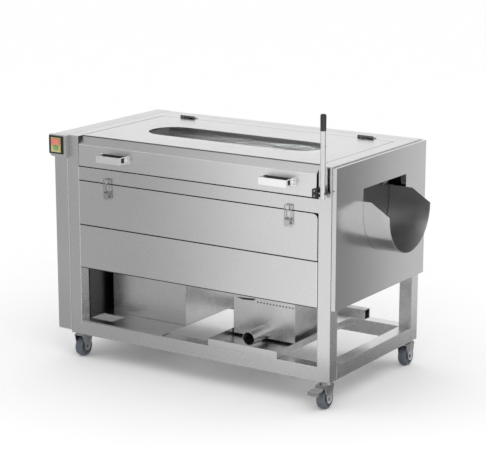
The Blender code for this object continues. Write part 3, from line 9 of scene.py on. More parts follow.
import bmesh
import bpy
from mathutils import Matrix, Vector


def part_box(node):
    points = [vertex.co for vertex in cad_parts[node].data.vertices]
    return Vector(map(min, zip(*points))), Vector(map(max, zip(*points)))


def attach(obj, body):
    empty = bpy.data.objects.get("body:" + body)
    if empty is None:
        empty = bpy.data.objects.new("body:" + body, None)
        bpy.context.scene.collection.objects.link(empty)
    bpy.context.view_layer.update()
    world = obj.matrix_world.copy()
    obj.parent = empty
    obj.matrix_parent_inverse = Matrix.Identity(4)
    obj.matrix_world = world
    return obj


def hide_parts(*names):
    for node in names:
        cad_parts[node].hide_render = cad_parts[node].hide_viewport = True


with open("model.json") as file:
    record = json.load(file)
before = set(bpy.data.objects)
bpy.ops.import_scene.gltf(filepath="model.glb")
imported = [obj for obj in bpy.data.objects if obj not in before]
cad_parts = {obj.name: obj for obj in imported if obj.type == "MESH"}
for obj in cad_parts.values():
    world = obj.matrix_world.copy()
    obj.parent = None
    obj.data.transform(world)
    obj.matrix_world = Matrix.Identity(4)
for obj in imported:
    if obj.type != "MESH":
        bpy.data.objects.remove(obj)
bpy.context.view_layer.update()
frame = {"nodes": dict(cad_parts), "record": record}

NODES = frame["nodes"]
BEHAVIOUR = frame["record"]["behaviour"]
BODY_OF = {name: body for body, members in BEHAVIOUR["bodies"].items() for name in members}
JOINT_PLACES = {joint["name"]: joint["pos_m"] for joint in BEHAVIOUR["joints"] if "pos_m" in joint}
AXES = {"x": 0, "y": 1, "z": 2}
SIDES = ("left", "right")
CASTERS = ("front_left", "front_right", "rear_left", "rear_right")
BRUSHES = 9
POST = 0.056

front_low, front_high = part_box("front_frame")
lid_low, lid_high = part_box("lid")
access_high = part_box("access_panel")[1]
lower_low, lower_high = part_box("lower_panel")
gear_low, gear_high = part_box("gear_cover")
chute_low, chute_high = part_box("discharge_chute")
FACE = lower_low.y


# Materials

EVEN = (1.0, 1.0, 1.0)
STREAK_FINE, STREAK_LONG = 900.0, 9.0


def new_tree(name):
    """A material, its node tree and its principled shader."""
    material = bpy.data.materials.new(name)
    material.use_nodes = True
    tree = material.node_tree
    return material, tree, tree.nodes["Principled BSDF"]


def node(tree, kind, inputs=None, **settings):
    """A shader node with settings and with values or links on its inputs."""
    made = tree.nodes.new(kind)
    for key, value in settings.items():
        setattr(made, key, value)
    for key, value in (inputs or {}).items():
        if isinstance(value, bpy.types.NodeSocket):
            tree.links.new(value, made.inputs[key])
        else:
            made.inputs[key].default_value = value
    return made


def noise(tree, scale, size=1.0, detail=3.0, rough=0.5):
    """Noise over the piece's own coordinates, stretched by the scale along each axis."""
    place = node(tree, "ShaderNodeTexCoord").outputs["Object"]
    mapped = node(tree, "ShaderNodeMapping", {"Vector": place, "Scale": scale})
    made = node(tree, "ShaderNodeTexNoise", {"Vector": mapped.outputs["Vector"], "Scale": size,
                                             "Detail": detail, "Roughness": rough})
    return made.outputs["Fac"]


def spread(tree, value, low, high, start=0.35, end=0.65):
    """A value mapped from the range start to end onto the range low to high."""
    return node(tree, "ShaderNodeMapRange", {"Value": value, "From Min": start, "From Max": end,
                                             "To Min": low, "To Max": high}).outputs["Result"]


def mixed(tree, factor, first, second, **settings):
    """Two colours mixed by a factor."""
    made = node(tree, "ShaderNodeMix", data_type="RGBA", **settings)
    for socket, value in zip((made.inputs[0], made.inputs[6], made.inputs[7]), (factor, first, second)):
        if isinstance(value, bpy.types.NodeSocket):
            tree.links.new(value, socket)
        else:
            socket.default_value = value
    return made.outputs[2]


def grey(value):
    """A neutral colour."""
    return (value, value, value, 1.0)


def streak(tree, grain):
    """Fine lines along one axis."""
    scale = [STREAK_FINE] * 3
    scale[AXES[grain]] = STREAK_LONG
    return noise(tree, scale, 1.0, 3.0, 0.6)


def post_share(tree, centre, half):
    """One where the posts stand, farther than half from the centre in X, and none between them."""
    place = node(tree, "ShaderNodeTexCoord").outputs["Object"]
    parts = node(tree, "ShaderNodeSeparateXYZ", {"Vector": place})
    away = node(tree, "ShaderNodeMath", {0: parts.outputs["X"], 1: centre}, operation="SUBTRACT")
    reach = node(tree, "ShaderNodeMath", {0: away.outputs[0]}, operation="ABSOLUTE")
    outside = node(tree, "ShaderNodeMath", {0: reach.outputs[0], 1: half}, operation="GREATER_THAN")
    return outside.outputs[0]


def steel(name, tone, rough, grain="x", brush=0.03, bump=0.02, cloud=3.0, posts=None, fold=0.002,
          metal=1.0):
    """Brushed stainless: streaks along the grain, soft clouds, faint smears, fine relief, soft folds."""
    material, tree, shader = new_tree(name)
    streaks = streak(tree, grain)
    if posts:
        streaks = node(tree, "ShaderNodeMix",
                       {0: post_share(tree, *posts), 2: streaks, 3: streak(tree, "z")},
                       data_type="FLOAT").outputs[0]
    clouds = noise(tree, EVEN, cloud, 4.0, 0.55)
    smears = noise(tree, EVEN, cloud * 6.0, 5.0, 0.6)
    plain = mixed(tree, spread(tree, clouds, 0.0, 1.0), grey(tone * 0.98), grey(tone * 1.02))
    lined = mixed(tree, spread(tree, streaks, 0.0, 1.0, 0.3, 0.7), grey(1.0 - brush), grey(1.0))
    tree.links.new(mixed(tree, 1.0, plain, lined, blend_type="MULTIPLY"), shader.inputs["Base Color"])
    across = spread(tree, streaks, rough * 0.9, rough * 1.1)
    smeared = spread(tree, smears, -0.02, 0.03, 0.45, 0.7)
    worn = node(tree, "ShaderNodeMath", {0: across, 1: smeared}, operation="ADD")
    tree.links.new(worn.outputs[0], shader.inputs["Roughness"])
    folds = node(tree, "ShaderNodeBevel", {"Radius": fold}, samples=6)
    relief = node(tree, "ShaderNodeBump", {"Height": streaks, "Strength": bump, "Distance": 0.0001,
                                           "Normal": folds.outputs["Normal"]})
    tree.links.new(relief.outputs["Normal"], shader.inputs["Normal"])
    shader.inputs["Metallic"].default_value = metal
    return material


def plastic(name, colour, worn, rough, bump=0.15, size=300.0, coat=0.0):
    """Moulded plastic, rubber or paint: two shades, rubbed patches and a fine texture."""
    material, tree, shader = new_tree(name)
    fine = noise(tree, EVEN, size, 3.0, 0.6)
    patches = noise(tree, EVEN, 22.0, 4.0, 0.6)
    rubbed = spread(tree, patches, 0.0, 1.0, 0.4, 0.72)
    tree.links.new(mixed(tree, rubbed, (*colour, 1.0), (*worn, 1.0)), shader.inputs["Base Color"])
    tree.links.new(spread(tree, patches, rough * 0.85, min(1.0, rough * 1.2)), shader.inputs["Roughness"])
    relief = node(tree, "ShaderNodeBump", {"Height": fine, "Strength": bump, "Distance": 0.0003})
    tree.links.new(relief.outputs["Normal"], shader.inputs["Normal"])
    shader.inputs["Coat Weight"].default_value = coat
    return material


POSTS = ((front_low.x + front_high.x) / 2, (front_high.x - front_low.x) / 2 - POST)

FRAME_STEEL = steel("frame_steel", 0.67, 0.28, "x", posts=POSTS, fold=0.004)
SHEET_X = steel("sheet_x", 0.67, 0.30, "x")
SHEET_Y = steel("sheet_y", 0.67, 0.30, "y", fold=0.004)
SHEET_Z = steel("sheet_z", 0.67, 0.30, "z", fold=0.004)
LID_STEEL = steel("lid_steel", 0.73, 0.32, "x", fold=0.003)
COVER_STEEL = steel("cover_steel", 0.62, 0.20, "y", 0.02, 0.02, fold=0.003)
CHUTE_STEEL = steel("chute_steel", 0.68, 0.20, "x", 0.02, 0.02, fold=0.001)
CHUTE_INSIDE = steel("chute_inside", 0.66, 0.36, "x", 0.03, 0.02, fold=0.001)
# Painted light: a lighter steel inside the machine, standing in for light that reaches in only through the
# feed slot
INNER_PAINTED_LIGHT_STEEL = steel("inner_painted_light_steel", 0.86, 0.48, "x", 0.04, metal=0.5)
# Painted shade: a very dark steel for the end plates, the gate and the motor cover's left side, where little
# light reaches
PAINTED_SHADE_STEEL = steel("painted_shade_steel", 0.14, 0.35, "z", 0.06)
ROD_STEEL = steel("rod_steel", 0.70, 0.12, "z", 0.03, 0.02)
# Painted highlight: a much lighter steel for the lid handles and the beads along the lid's fold and the
# upright edges
HIGHLIGHT_STEEL = steel("highlight_steel", 0.95, 0.42, "x", 0.03, 0.02, fold=0.001)
# Painted shade: a dark steel for the line along the top of the lid's bevel
SHADE_LINE_STEEL = steel("shade_line_steel", 0.17, 0.40, "x", 0.10, fold=0.001)
PEDAL_STEEL = steel("pedal_steel", 0.36, 0.20, "x", 0.04, 0.03, 9.0, fold=0.001)
# Dark steel for chains, shafts and sprockets, and for the discs that stand for the sump's holes as painted
# shade
DARK_STEEL = steel("dark_steel", 0.08, 0.36, "x", 0.15, fold=0.001)
HINGE_STEEL = steel("hinge_steel", 0.17, 0.26, "x", 0.10, fold=0.001)
ZINC = steel("zinc", 0.48, 0.24, "z", 0.04, 0.03, 9.0, fold=0.001)
# Black for the plastic parts, and for painted shade in gaps, in corners and under the rails
BLACK = plastic("black_plastic", (0.010, 0.010, 0.010), (0.022, 0.022, 0.022), 0.42)
RUBBER = plastic("wheel_rubber", (0.075, 0.090, 0.110), (0.12, 0.135, 0.155), 0.55, 0.25)
HUB = plastic("wheel_hub", (0.12, 0.135, 0.155), (0.17, 0.18, 0.20), 0.45, 0.15)
RED = plastic("red_button", (0.66, 0.17, 0.12), (0.72, 0.26, 0.20), 0.30, 0.05, coat=0.3)
GREEN = plastic("green_button", (0.17, 0.34, 0.09), (0.24, 0.40, 0.13), 0.32, 0.05, coat=0.3)
LABEL = plastic("yellow_label", (0.46, 0.42, 0.16), (0.54, 0.50, 0.24), 0.40, 0.05)
NYLON = plastic("nylon_bristle", (0.80, 0.80, 0.80), (0.88, 0.88, 0.87), 0.70, 0.4, 700.0)
ENAMEL = plastic("machine_enamel", (0.07, 0.13, 0.21), (0.11, 0.18, 0.26), 0.38, 0.1, coat=0.2)


# Mesh helpers

def along(axis, station, u, v):
    """A point at a station on an axis, with the two other coordinates in order."""
    if axis == "x":
        return (station, u, v)
    if axis == "y":
        return (u, station, v)
    return (u, v, station)


def add_prism(bm, axis, outline, low, high):
    """An outline drawn out along an axis."""
    first = [bm.verts.new(along(axis, low, u, v)) for u, v in outline]
    second = [bm.verts.new(along(axis, high, u, v)) for u, v in outline]
    bm.faces.new(first)
    bm.faces.new(list(reversed(second)))
    for index in range(len(outline)):
        after = (index + 1) % len(outline)
        bm.faces.new((first[after], first[index], second[index], second[after]))


def add_box(bm, low, high):
    """A block between two corners."""
    outline = [(low[0], low[1]), (high[0], low[1]), (high[0], high[1]), (low[0], high[1])]
    add_prism(bm, "z", outline, low[2], high[2])


def circle(centre, radius, sides, start=0.0, sweep=math.tau):
    """Points round a centre."""
    return [(centre[0] + radius * math.cos(start + sweep * index / sides),
             centre[1] + radius * math.sin(start + sweep * index / sides)) for index in range(sides)]


def add_turned(bm, axis, centre, profile, sides, closed=False):
    """A turned shape from pairs of station and radius; a closed profile makes a ring."""
    rings = []
    for station, radius in profile:
        rings.append([bm.verts.new(along(axis, station, u, v)) for u, v in circle(centre, radius, sides)])
    if not closed:
        bm.faces.new(list(reversed(rings[0])))
        bm.faces.new(rings[-1])
    following = rings[1:] + rings[:1] if closed else rings[1:]
    for first, second in zip(rings, following):
        for index in range(sides):
            after = (index + 1) % sides
            bm.faces.new((first[index], first[after], second[after], second[index]))


def mesh_object(name, bm, material, sharp=35.0):
    """A linked object from a bmesh, smooth except at sharp edges."""
    mesh = bpy.data.meshes.new(name)
    bmesh.ops.recalc_face_normals(bm, faces=bm.faces)
    bm.to_mesh(mesh)
    bm.free()
    mesh.materials.append(material)
    for polygon in mesh.polygons:
        polygon.use_smooth = True
    mesh.set_sharp_from_angle(angle=math.radians(sharp))
    obj = bpy.data.objects.new(name, mesh)
    bpy.context.scene.collection.objects.link(obj)
    return obj


def round_edges(obj, width, segments=2, angle=42.0):
    """Folded and broken edges catch light along a small round."""
    bevel = obj.modifiers.new("edge_round", "BEVEL")
    bevel.width = width
    bevel.segments = segments
    bevel.limit_method = "ANGLE"
    bevel.angle_limit = math.radians(angle)
    bevel.harden_normals = True


def piece(name, bm, material, body, width=0.0, replaced=()):
    """A finished piece: seated on its body, with rounded edges, for the CAD nodes that it stands for."""
    obj = mesh_object(name, bm, material)
    if width:
        round_edges(obj, width)
    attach(obj, body)
    if replaced:
        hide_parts(*replaced)
    return obj


def clean_copy(node_name):
    """A CAD node's mesh with its doubled points joined and its flat faces whole."""
    source = bmesh.new()
    source.from_mesh(NODES[node_name].data)
    bmesh.ops.remove_doubles(source, verts=source.verts, dist=0.00001)
    bmesh.ops.dissolve_limit(source, angle_limit=math.radians(0.5), verts=source.verts, edges=source.edges)
    source.verts.index_update()
    places = [vertex.co.copy() for vertex in source.verts]
    faces = [[vertex.index for vertex in face.verts] for face in source.faces]
    source.free()
    made = bmesh.new()
    points = [made.verts.new(place) for place in places]
    for face in faces:
        made.faces.new([points[index] for index in face])
    return made


def refined(name, material, width, slot="stainless"):
    """The CAD node again, with rounded edges and its own finish."""
    return piece(name + "_look", clean_copy(name), material, BODY_OF[name], width, (name,))


# Pieces that keep the CAD shape: material, width of the rounded edges, and the slot if not stainless

# Rounded edges, by the kind of part
THIN = 0.0004
FOLD = 0.0007
TUBE_EDGE = 0.0022
CAST_EDGE = 0.002
PRESSED_EDGE = 0.0006
BAR_EDGE = 0.0008
LATCH_EDGE = 0.0003
WIRE_EDGE = 0.0005
BUTTON_EDGE = 0.0012
BLOCK_EDGE = 0.0015

CAD_SHAPES = {
    "front_frame": (FRAME_STEEL, TUBE_EDGE), "rear_frame": (FRAME_STEEL, TUBE_EDGE),
    "left_bottom_rail": (SHEET_Y, TUBE_EDGE), "right_bottom_rail": (SHEET_Y, TUBE_EDGE),
    "top_rim": (LID_STEEL, THIN), "gear_cover": (SHEET_Z, FOLD),
    "side_cover": (COVER_STEEL, FOLD), "rear_cover": (SHEET_X, FOLD),
    "lower_panel": (SHEET_X, FOLD), "access_panel": (SHEET_X, FOLD),
    "lid": (LID_STEEL, FOLD),
    "left_end_plate": (PAINTED_SHADE_STEEL, FOLD), "right_end_plate": (PAINTED_SHADE_STEEL, FOLD),
    "wash_trough": (INNER_PAINTED_LIGHT_STEEL, FOLD), "spray_pipe": (INNER_PAINTED_LIGHT_STEEL, THIN),
    "gear_reducer": (ENAMEL, CAST_EDGE, "drive_paint"),
    "roller_chain": (DARK_STEEL, PRESSED_EDGE, "dark_steel"),
    "motor_chain": (DARK_STEEL, PRESSED_EDGE, "dark_steel"),
    "lid_handle_left": (HIGHLIGHT_STEEL, BAR_EDGE), "lid_handle_right": (HIGHLIGHT_STEEL, BAR_EDGE),
    "lid_hinge_left": (HINGE_STEEL, THIN, "dark_steel"),
    "lid_hinge_right": (HINGE_STEEL, THIN, "dark_steel"),
    "latch_lever_left": (ZINC, LATCH_EDGE), "latch_lever_right": (ZINC, LATCH_EDGE),
    "latch_bail_left": (ZINC, WIRE_EDGE), "latch_bail_right": (ZINC, WIRE_EDGE),
    "control_box": (SHEET_Z, FOLD), "switch_plate": (BLACK, BAR_EDGE, "black_plastic"),
    "stop_button": (RED, BUTTON_EDGE, "red_plastic"),
    "start_button": (GREEN, BUTTON_EDGE, "green_plastic"),
    "discharge_chute": (CHUTE_STEEL, FOLD), "discharge_gate": (PAINTED_SHADE_STEEL, FOLD),
    "gate_lever": (ROD_STEEL, PRESSED_EDGE),
    "lever_block": (BLACK, BLOCK_EDGE, "black_plastic"), "motor_cover": (SHEET_X, FOLD),
    "motor_shelf": (SHEET_X, THIN), "sump_box": (SHEET_Z, FOLD),
    "drip_tray": (SHEET_Y, FOLD),
}
for place in CASTERS:
    CAD_SHAPES["caster_fork_" + place] = (ZINC, PRESSED_EDGE)
for place in ("front_right", "rear_left"):
    CAD_SHAPES["brake_pedal_" + place] = (PEDAL_STEEL, PRESSED_EDGE)

shown = {name: refined(name, *look) for name, look in CAD_SHAPES.items()}


# Second materials: dark hinge leaves, black painted shade in the gaps round the panels, the chute's inside,
# painted shade on the motor cover's left side

# How squarely a face looks along an axis, and how near it lies to the place that is meant
FACING, LEANING = 0.9, 0.5
ON_SIDE = 0.001
LEAF_REACH = 0.04
LEAF_UNDER = 0.0002
ACCESS_FOLD = 0.021
CROSSBAR_TOP = lid_low.z - 0.004
CROSSBAR_REACH = 0.0015
RIM_SIDE_REACH, RIM_BACK_REACH = 0.006, 0.01


def repaint(name, material, wanted):
    """Give the wanted faces of a piece a second material."""
    mesh = shown[name].data
    mesh.materials.append(material)
    for polygon in mesh.polygons:
        if wanted(polygon.center, polygon.normal):
            polygon.material_index = len(mesh.materials) - 1


hinge_boxes = [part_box("lid_hinge_" + side) for side in SIDES]


def on_hinge_leaf(middle, normal):
    """Whether a face of the lid is part of one of its hinge leaves."""
    return any(low.x < middle.x < high.x and middle.y > low.y - LEAF_REACH
               and middle.z > low.z - LEAF_UNDER for low, high in hinge_boxes)


repaint("lid", HINGE_STEEL, on_hinge_leaf)
# Black faces inside the gaps round the access panel, the lower panel, the crossbar, the rim and the lid:
# painted shade
repaint("access_panel", BLACK, lambda middle, normal:
        normal.z > FACING and middle.z > access_high.z - ON_SIDE
        or normal.x > LEANING and middle.x > access_high.x - ACCESS_FOLD)
repaint("lower_panel", BLACK, lambda middle, normal:
        normal.z > FACING and middle.z > lower_high.z - ON_SIDE
        or normal.x > FACING and middle.x > lower_high.x - ON_SIDE)
repaint("front_frame", BLACK, lambda middle, normal:
        normal.z > FACING and abs(middle.z - CROSSBAR_TOP) < CROSSBAR_REACH)
repaint("top_rim", BLACK, lambda middle, normal:
        normal.x > FACING and abs(middle.x - lid_low.x) < RIM_SIDE_REACH
        or normal.y < -FACING and abs(middle.y - lid_high.y) < RIM_BACK_REACH)
repaint("lid", BLACK, lambda middle, normal: normal.x > FACING and middle.x > lid_high.x - ON_SIDE)
CHUTE_AXIS = Vector(((chute_low.y + chute_high.y) / 2, chute_high.z))
repaint("discharge_chute", CHUTE_INSIDE, lambda middle, normal:
        abs(normal.x) < LEANING and (CHUTE_AXIS - middle.yz).dot(normal.yz) > 0)
# The motor cover's left side in the very dark steel: painted shade
repaint("motor_cover", PAINTED_SHADE_STEEL, lambda middle, normal: normal.x < -FACING)


# Screws, rivets, and black sheets of painted shade in the handles

# Lid handle: the middle of a foot from the handle's end, its plate and screws, the black sheet of painted
# shade between the feet
HANDLE_FOOT = 0.0078
FOOT_PLATE = 0.003
SCREW_RISE = 0.008
HANDLE_SCREW = 0.0032
SHADE_SHEET_INSET, SHADE_SHEET_THICK, SHADE_SHEET_MARGIN = 0.019, 0.0022, 0.001
# Lid hinge: the top of the leaves, and the screws of the fixed leaf and of the lid's leaf
LEAF_TOP = 0.0025
HINGE_SCREW = 0.003
FIXED_PITCH, FIXED_INSET = 0.026, 0.008
LID_PITCH, LID_INSET = 0.009, 0.013
# Latch rivets on the base below each lever, screws of the lever block and of the left cover
LATCH_BASE = 0.0015
RIVET = 0.0018
RIVET_PITCH, RIVET_DROP = 0.010, 0.004
BLOCK_SCREW_INSET = 0.007
COVER_SCREW, COVER_SCREW_INSET = 0.004, 0.03
# A screw head's profile: height and radius in shares of its radius
HEAD = ((0.0, 1.0), (0.25, 1.0), (0.5, 0.8), (0.62, 0.5), (0.35, 0.42))
HEAD_SIDES = 14


def add_screw(bm, axis, spot, toward, radius):
    """A low domed head with a round recess, standing on a face."""
    parts = list(spot)
    base = parts.pop(AXES[axis])
    profile = [(base + toward * depth * radius, share * radius) for depth, share in HEAD]
    add_turned(bm, axis, parts, profile, HEAD_SIDES)


def screws(name, body, axis, toward, radius, spots):
    """Several screw heads as one piece."""
    bm = bmesh.new()
    for spot in spots:
        add_screw(bm, axis, spot, toward, radius)
    piece(name, bm, ZINC, body)


for side in SIDES:
    low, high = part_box("lid_handle_" + side)
    middle = (low.z + high.z) / 2
    spots = [(x, high.y - FOOT_PLATE, middle + rise)
             for x in (low.x + HANDLE_FOOT, high.x - HANDLE_FOOT) for rise in (-SCREW_RISE, SCREW_RISE)]
    screws(f"handle_screws_{side}", "lid", "y", -1, HANDLE_SCREW, spots)
    # A black sheet between the handle's feet: painted shade inside the handle
    shade_sheet = bmesh.new()
    add_box(shade_sheet, (low.x + SHADE_SHEET_INSET, high.y - SHADE_SHEET_THICK, low.z + SHADE_SHEET_MARGIN),
            (high.x - SHADE_SHEET_INSET, high.y, high.z - SHADE_SHEET_MARGIN))
    piece(f"handle_shade_sheet_{side}", shade_sheet, BLACK, "lid", BAR_EDGE)

    low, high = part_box("lid_hinge_" + side)
    middle = (low.x + high.x) / 2
    leaf = low.z + LEAF_TOP
    spots = [(middle + reach, high.y - FIXED_INSET, leaf) for reach in (-FIXED_PITCH, 0.0, FIXED_PITCH)]
    screws(f"hinge_screws_{side}", "frame", "z", 1, HINGE_SCREW, spots)
    spots = [(middle + reach, low.y - LID_INSET, leaf) for reach in (-LID_PITCH, LID_PITCH)]
    screws(f"hinge_lid_screws_{side}", "lid", "z", 1, HINGE_SCREW, spots)

    low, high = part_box("latch_lever_" + side)
    middle = (low.x + high.x) / 2
    spots = [(middle + reach, FACE - LATCH_BASE, low.z - RIVET_DROP)
             for reach in (-RIVET_PITCH, RIVET_PITCH)]
    screws(f"latch_rivets_{side}", "access_panel", "y", -1, RIVET, spots)

low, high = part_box("lever_block")
middle = (low.x + high.x) / 2
screws("block_screws", "frame", "y", -1, HANDLE_SCREW,
       [(middle, low.y, low.z + BLOCK_SCREW_INSET), (middle, low.y, high.z - BLOCK_SCREW_INSET)])

depths = (gear_low.y + COVER_SCREW_INSET, (gear_low.y + gear_high.y) / 2, gear_high.y - COVER_SCREW_INSET)
heights = (gear_low.z + COVER_SCREW_INSET, gear_high.z - COVER_SCREW_INSET)
screws("gear_cover_screws", "frame", "x", -1, COVER_SCREW,
       [(gear_low.x, y, z) for y in depths for z in heights])


# Control panel label with windows round the two buttons

# The label's margins on the plate, and its windows, a gap wider than the buttons in front of their flanges
LABEL_SIDE, LABEL_END, LABEL_THICK = 0.011, 0.007, 0.0006
BUTTON_FLANGE, WINDOW_GAP = 0.0025, 0.0004
INSET = BUTTON_FLANGE - WINDOW_GAP


def add_windowed(bm, x_cuts, z_cuts, holes, front, back):
    """A thin plate across a grid, with the cells in holes left out."""
    points = {}
    for level, y in enumerate((front, back)):
        for row, z in enumerate(z_cuts):
            for column, x in enumerate(x_cuts):
                points[level, row, column] = bm.verts.new((x, y, z))
    grid = {(row, column) for row in range(len(z_cuts) - 1) for column in range(len(x_cuts) - 1)}
    cells = grid - set(holes)
    for row, column in cells:
        for level in (0, 1):
            bm.faces.new([points[level, row, column], points[level, row, column + 1],
                          points[level, row + 1, column + 1], points[level, row + 1, column]])
        edges = {(row - 1, column): ((row, column), (row, column + 1)),
                 (row + 1, column): ((row + 1, column), (row + 1, column + 1)),
                 (row, column - 1): ((row, column), (row + 1, column)),
                 (row, column + 1): ((row, column + 1), (row + 1, column + 1))}
        for neighbour, (start, end) in edges.items():
            if neighbour not in cells:
                corners = ((0, *start), (0, *end), (1, *end), (1, *start))
                bm.faces.new([points[corner] for corner in corners])
    bmesh.ops.delete(bm, geom=[vertex for vertex in bm.verts if not vertex.link_faces], context="VERTS")


plate_low, plate_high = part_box("switch_plate")
stop_low, stop_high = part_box("stop_button")
start_low, start_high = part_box("start_button")
label = bmesh.new()
add_windowed(label,
             [plate_low.x + LABEL_SIDE, stop_low.x + INSET, start_low.x + INSET,
              start_high.x - INSET, stop_high.x - INSET, plate_high.x - LABEL_SIDE],
             [plate_low.z + LABEL_END, start_low.z + INSET, start_high.z - INSET,
              stop_low.z + INSET, stop_high.z - INSET, plate_high.z - LABEL_END],
             [(1, 2), (3, 1), (3, 2), (3, 3)], plate_low.y - LABEL_THICK, plate_low.y)
piece("switch_label", label, LABEL, "frame")


# Lever grip, with its profile as distances in from each end and shares of its radius

GRIP_FOOT = ((0.0, 0.90), (0.002, 0.94), (0.020, 0.96))
GRIP_HEAD = ((0.012, 0.995), (0.006, 0.97), (0.0025, 0.86), (0.0006, 0.66), (0.0, 0.40))
GRIP_SIDES = 28

low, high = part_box("lever_grip")
centre = ((low.x + high.x) / 2, (low.y + high.y) / 2)
radius = (high.x - low.x) / 2
profile = [(low.z + rise, radius * share) for rise, share in GRIP_FOOT]
profile += [(high.z - drop, radius * share) for drop, share in GRIP_HEAD]
bm = bmesh.new()
add_turned(bm, "z", centre, profile, GRIP_SIDES)
piece("lever_grip_look", bm, BLACK, "lever", 0.0, ("lever_grip",))


# Lines along the lid's bevel: a dark strip of painted shade above it, a bright bead below it, a painted
# highlight on the fold

# The bevel's run and fall, the painted shade line's thickness and width, the gap at both ends, the beads'
# seat and radii
BEVEL_IN, BEVEL_DROP = 0.031, 0.034
LIFT = 0.0003
SHADE_LINE = 0.0035
END_GAP = 0.001
SEAT = 0.0010
FOLD_BEAD, EDGE_BEAD = 0.0019, 0.0018
BEAD_SIDES = 20

top = front_high.z
inner_edge = FACE + BEVEL_IN
fall = SHADE_LINE * BEVEL_DROP / BEVEL_IN
bm = bmesh.new()
add_prism(bm, "x", [(inner_edge, top), (inner_edge, top - LIFT), (inner_edge - SHADE_LINE, top - fall - LIFT),
                    (inner_edge - SHADE_LINE - LIFT, top - fall), (inner_edge - LIFT, top)],
          lid_low.x + END_GAP, lid_high.x - END_GAP)
piece("lid_shade_line", bm, SHADE_LINE_STEEL, "lid")
# A bright bead along the lower fold: painted highlight
bm = bmesh.new()
add_turned(bm, "x", (FACE + SEAT, top - BEVEL_DROP),
           [(lid_low.x + END_GAP, FOLD_BEAD), (lid_high.x - END_GAP, FOLD_BEAD)], BEAD_SIDES)
piece("lid_fold_highlight", bm, HIGHLIGHT_STEEL, "lid")


# Bright beads along upright edges, painted highlights: the left post, the left cover and the lower panel

# Where the beads stop: above the bottom rail, below the lid, below the control box, above a lower edge
RAIL_TOP = 0.046
LID_GAP = 0.006
BOX_DROP = 0.1
FOOT_GAP = 0.004

for name, x, y, low, high in (
        ("post_edge", front_low.x + POST, FACE, front_low.z + RAIL_TOP, lid_low.z - LID_GAP),
        ("gear_cover_edge", gear_high.x, gear_low.y, gear_low.z + FOOT_GAP, gear_high.z - BOX_DROP),
        ("lower_panel_edge", lower_high.x, FACE, lower_low.z + FOOT_GAP, lower_high.z - END_GAP)):
    bm = bmesh.new()
    add_turned(bm, "z", (x - SEAT, y + SEAT), [(low, EDGE_BEAD), (high, EDGE_BEAD)], BEAD_SIDES)
    piece(name, bm, HIGHLIGHT_STEEL, "frame")


# Painted shade: a black strip along the lower edge of the lower panel, black rings under the rails at the
# swivels

# The strip's height and how far it stands proud, and a ring as drops below its swivel and radii
PANEL_SHADE_BAND, PANEL_SHADE_BAND_PROUD = 0.0034, 0.0003
SWIVEL_SHADE = ((0.0075, 0.023), (0.0015, 0.024), (0.0004, 0.022))
SWIVEL_SHADE_SIDES = 28

bm = bmesh.new()
add_box(bm, (lower_low.x + END_GAP, FACE - PANEL_SHADE_BAND_PROUD, lower_low.z),
        (lower_high.x - END_GAP, FACE + PANEL_SHADE_BAND_PROUD, lower_low.z + PANEL_SHADE_BAND))
piece("panel_shade_band", bm, BLACK, "frame")
for place in CASTERS:
    x, y, z = JOINT_PLACES["swivel_" + place]
    bm = bmesh.new()
    add_turned(bm, "z", (x, y), [(z - drop, radius) for drop, radius in SWIVEL_SHADE], SWIVEL_SHADE_SIDES)
    piece("swivel_shade_" + place, bm, BLACK, "fork_" + place)


# Black corner sheet at the left end of the lid's bevel: painted shade in the corner

# The sheet's two faces from the lid's side, its depth and its height
CORNER_SHADE_NEAR, CORNER_SHADE_FAR = 0.0002, 0.0016
CORNER_SHADE_DEEP, CORNER_SHADE_TALL = 0.029, 0.032

bm = bmesh.new()
add_prism(bm, "x", [(FACE + SHADE_SHEET_MARGIN, top - CORNER_SHADE_TALL), (FACE + SHADE_SHEET_MARGIN, top - SHADE_SHEET_MARGIN),
                    (FACE + CORNER_SHADE_DEEP, top - SHADE_SHEET_MARGIN)], lid_low.x - CORNER_SHADE_FAR, lid_low.x - CORNER_SHADE_NEAR)
piece("corner_shade_sheet", bm, BLACK, "frame", LATCH_EDGE)


# Bead between the chute and the side cover's cut-out

# The chute's flange past its half round, and the bead's edges past the half round and behind the cover's face
FLANGE_PAST = 0.0175
ARC_POINTS = 33
BEAD_IN, BEAD_OUT = 0.0002, 0.0033
BEAD_SHIFT = 0.0015
BEAD_BACK, BEAD_FRONT = 0.0014, 0.0002


def half_round(centre, radius, top):
    """A half circle below a centre, carried on to a height at both ends."""
    arc = circle(centre, radius, ARC_POINTS, math.pi, math.pi * ARC_POINTS / (ARC_POINTS - 1))
    return [(centre[0] - radius, top)] + arc + [(centre[0] + radius, top)]


radius = (chute_high.y - chute_low.y) / 2 - FLANGE_PAST
centre = ((chute_low.y + chute_high.y) / 2, chute_low.z + radius + FLANGE_PAST)
inner = half_round(centre, radius + BEAD_IN, chute_high.z)
outer = half_round((centre[0] + BEAD_SHIFT, centre[1]), radius + BEAD_OUT, chute_high.z)
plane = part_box("side_cover")[1].x
bm = bmesh.new()
rows = [[bm.verts.new((x, *spot)) for spot in path]
        for x in (plane - BEAD_BACK, plane - BEAD_FRONT) for path in (outer, inner)]
for index in range(len(inner) - 1):
    for near, far in ((0, 1), (1, 3), (3, 2), (2, 0)):
        bm.faces.new((rows[near][index], rows[near][index + 1], rows[far][index + 1], rows[far][index]))
for index in (0, -1):
    bm.faces.new([rows[row][index] for row in (0, 1, 3, 2)])
piece("chute_bead", bm, CHUTE_STEEL, "frame")


# Caster wheels, hubs and nuts, with half profiles as distances in from each side and shares of the radius

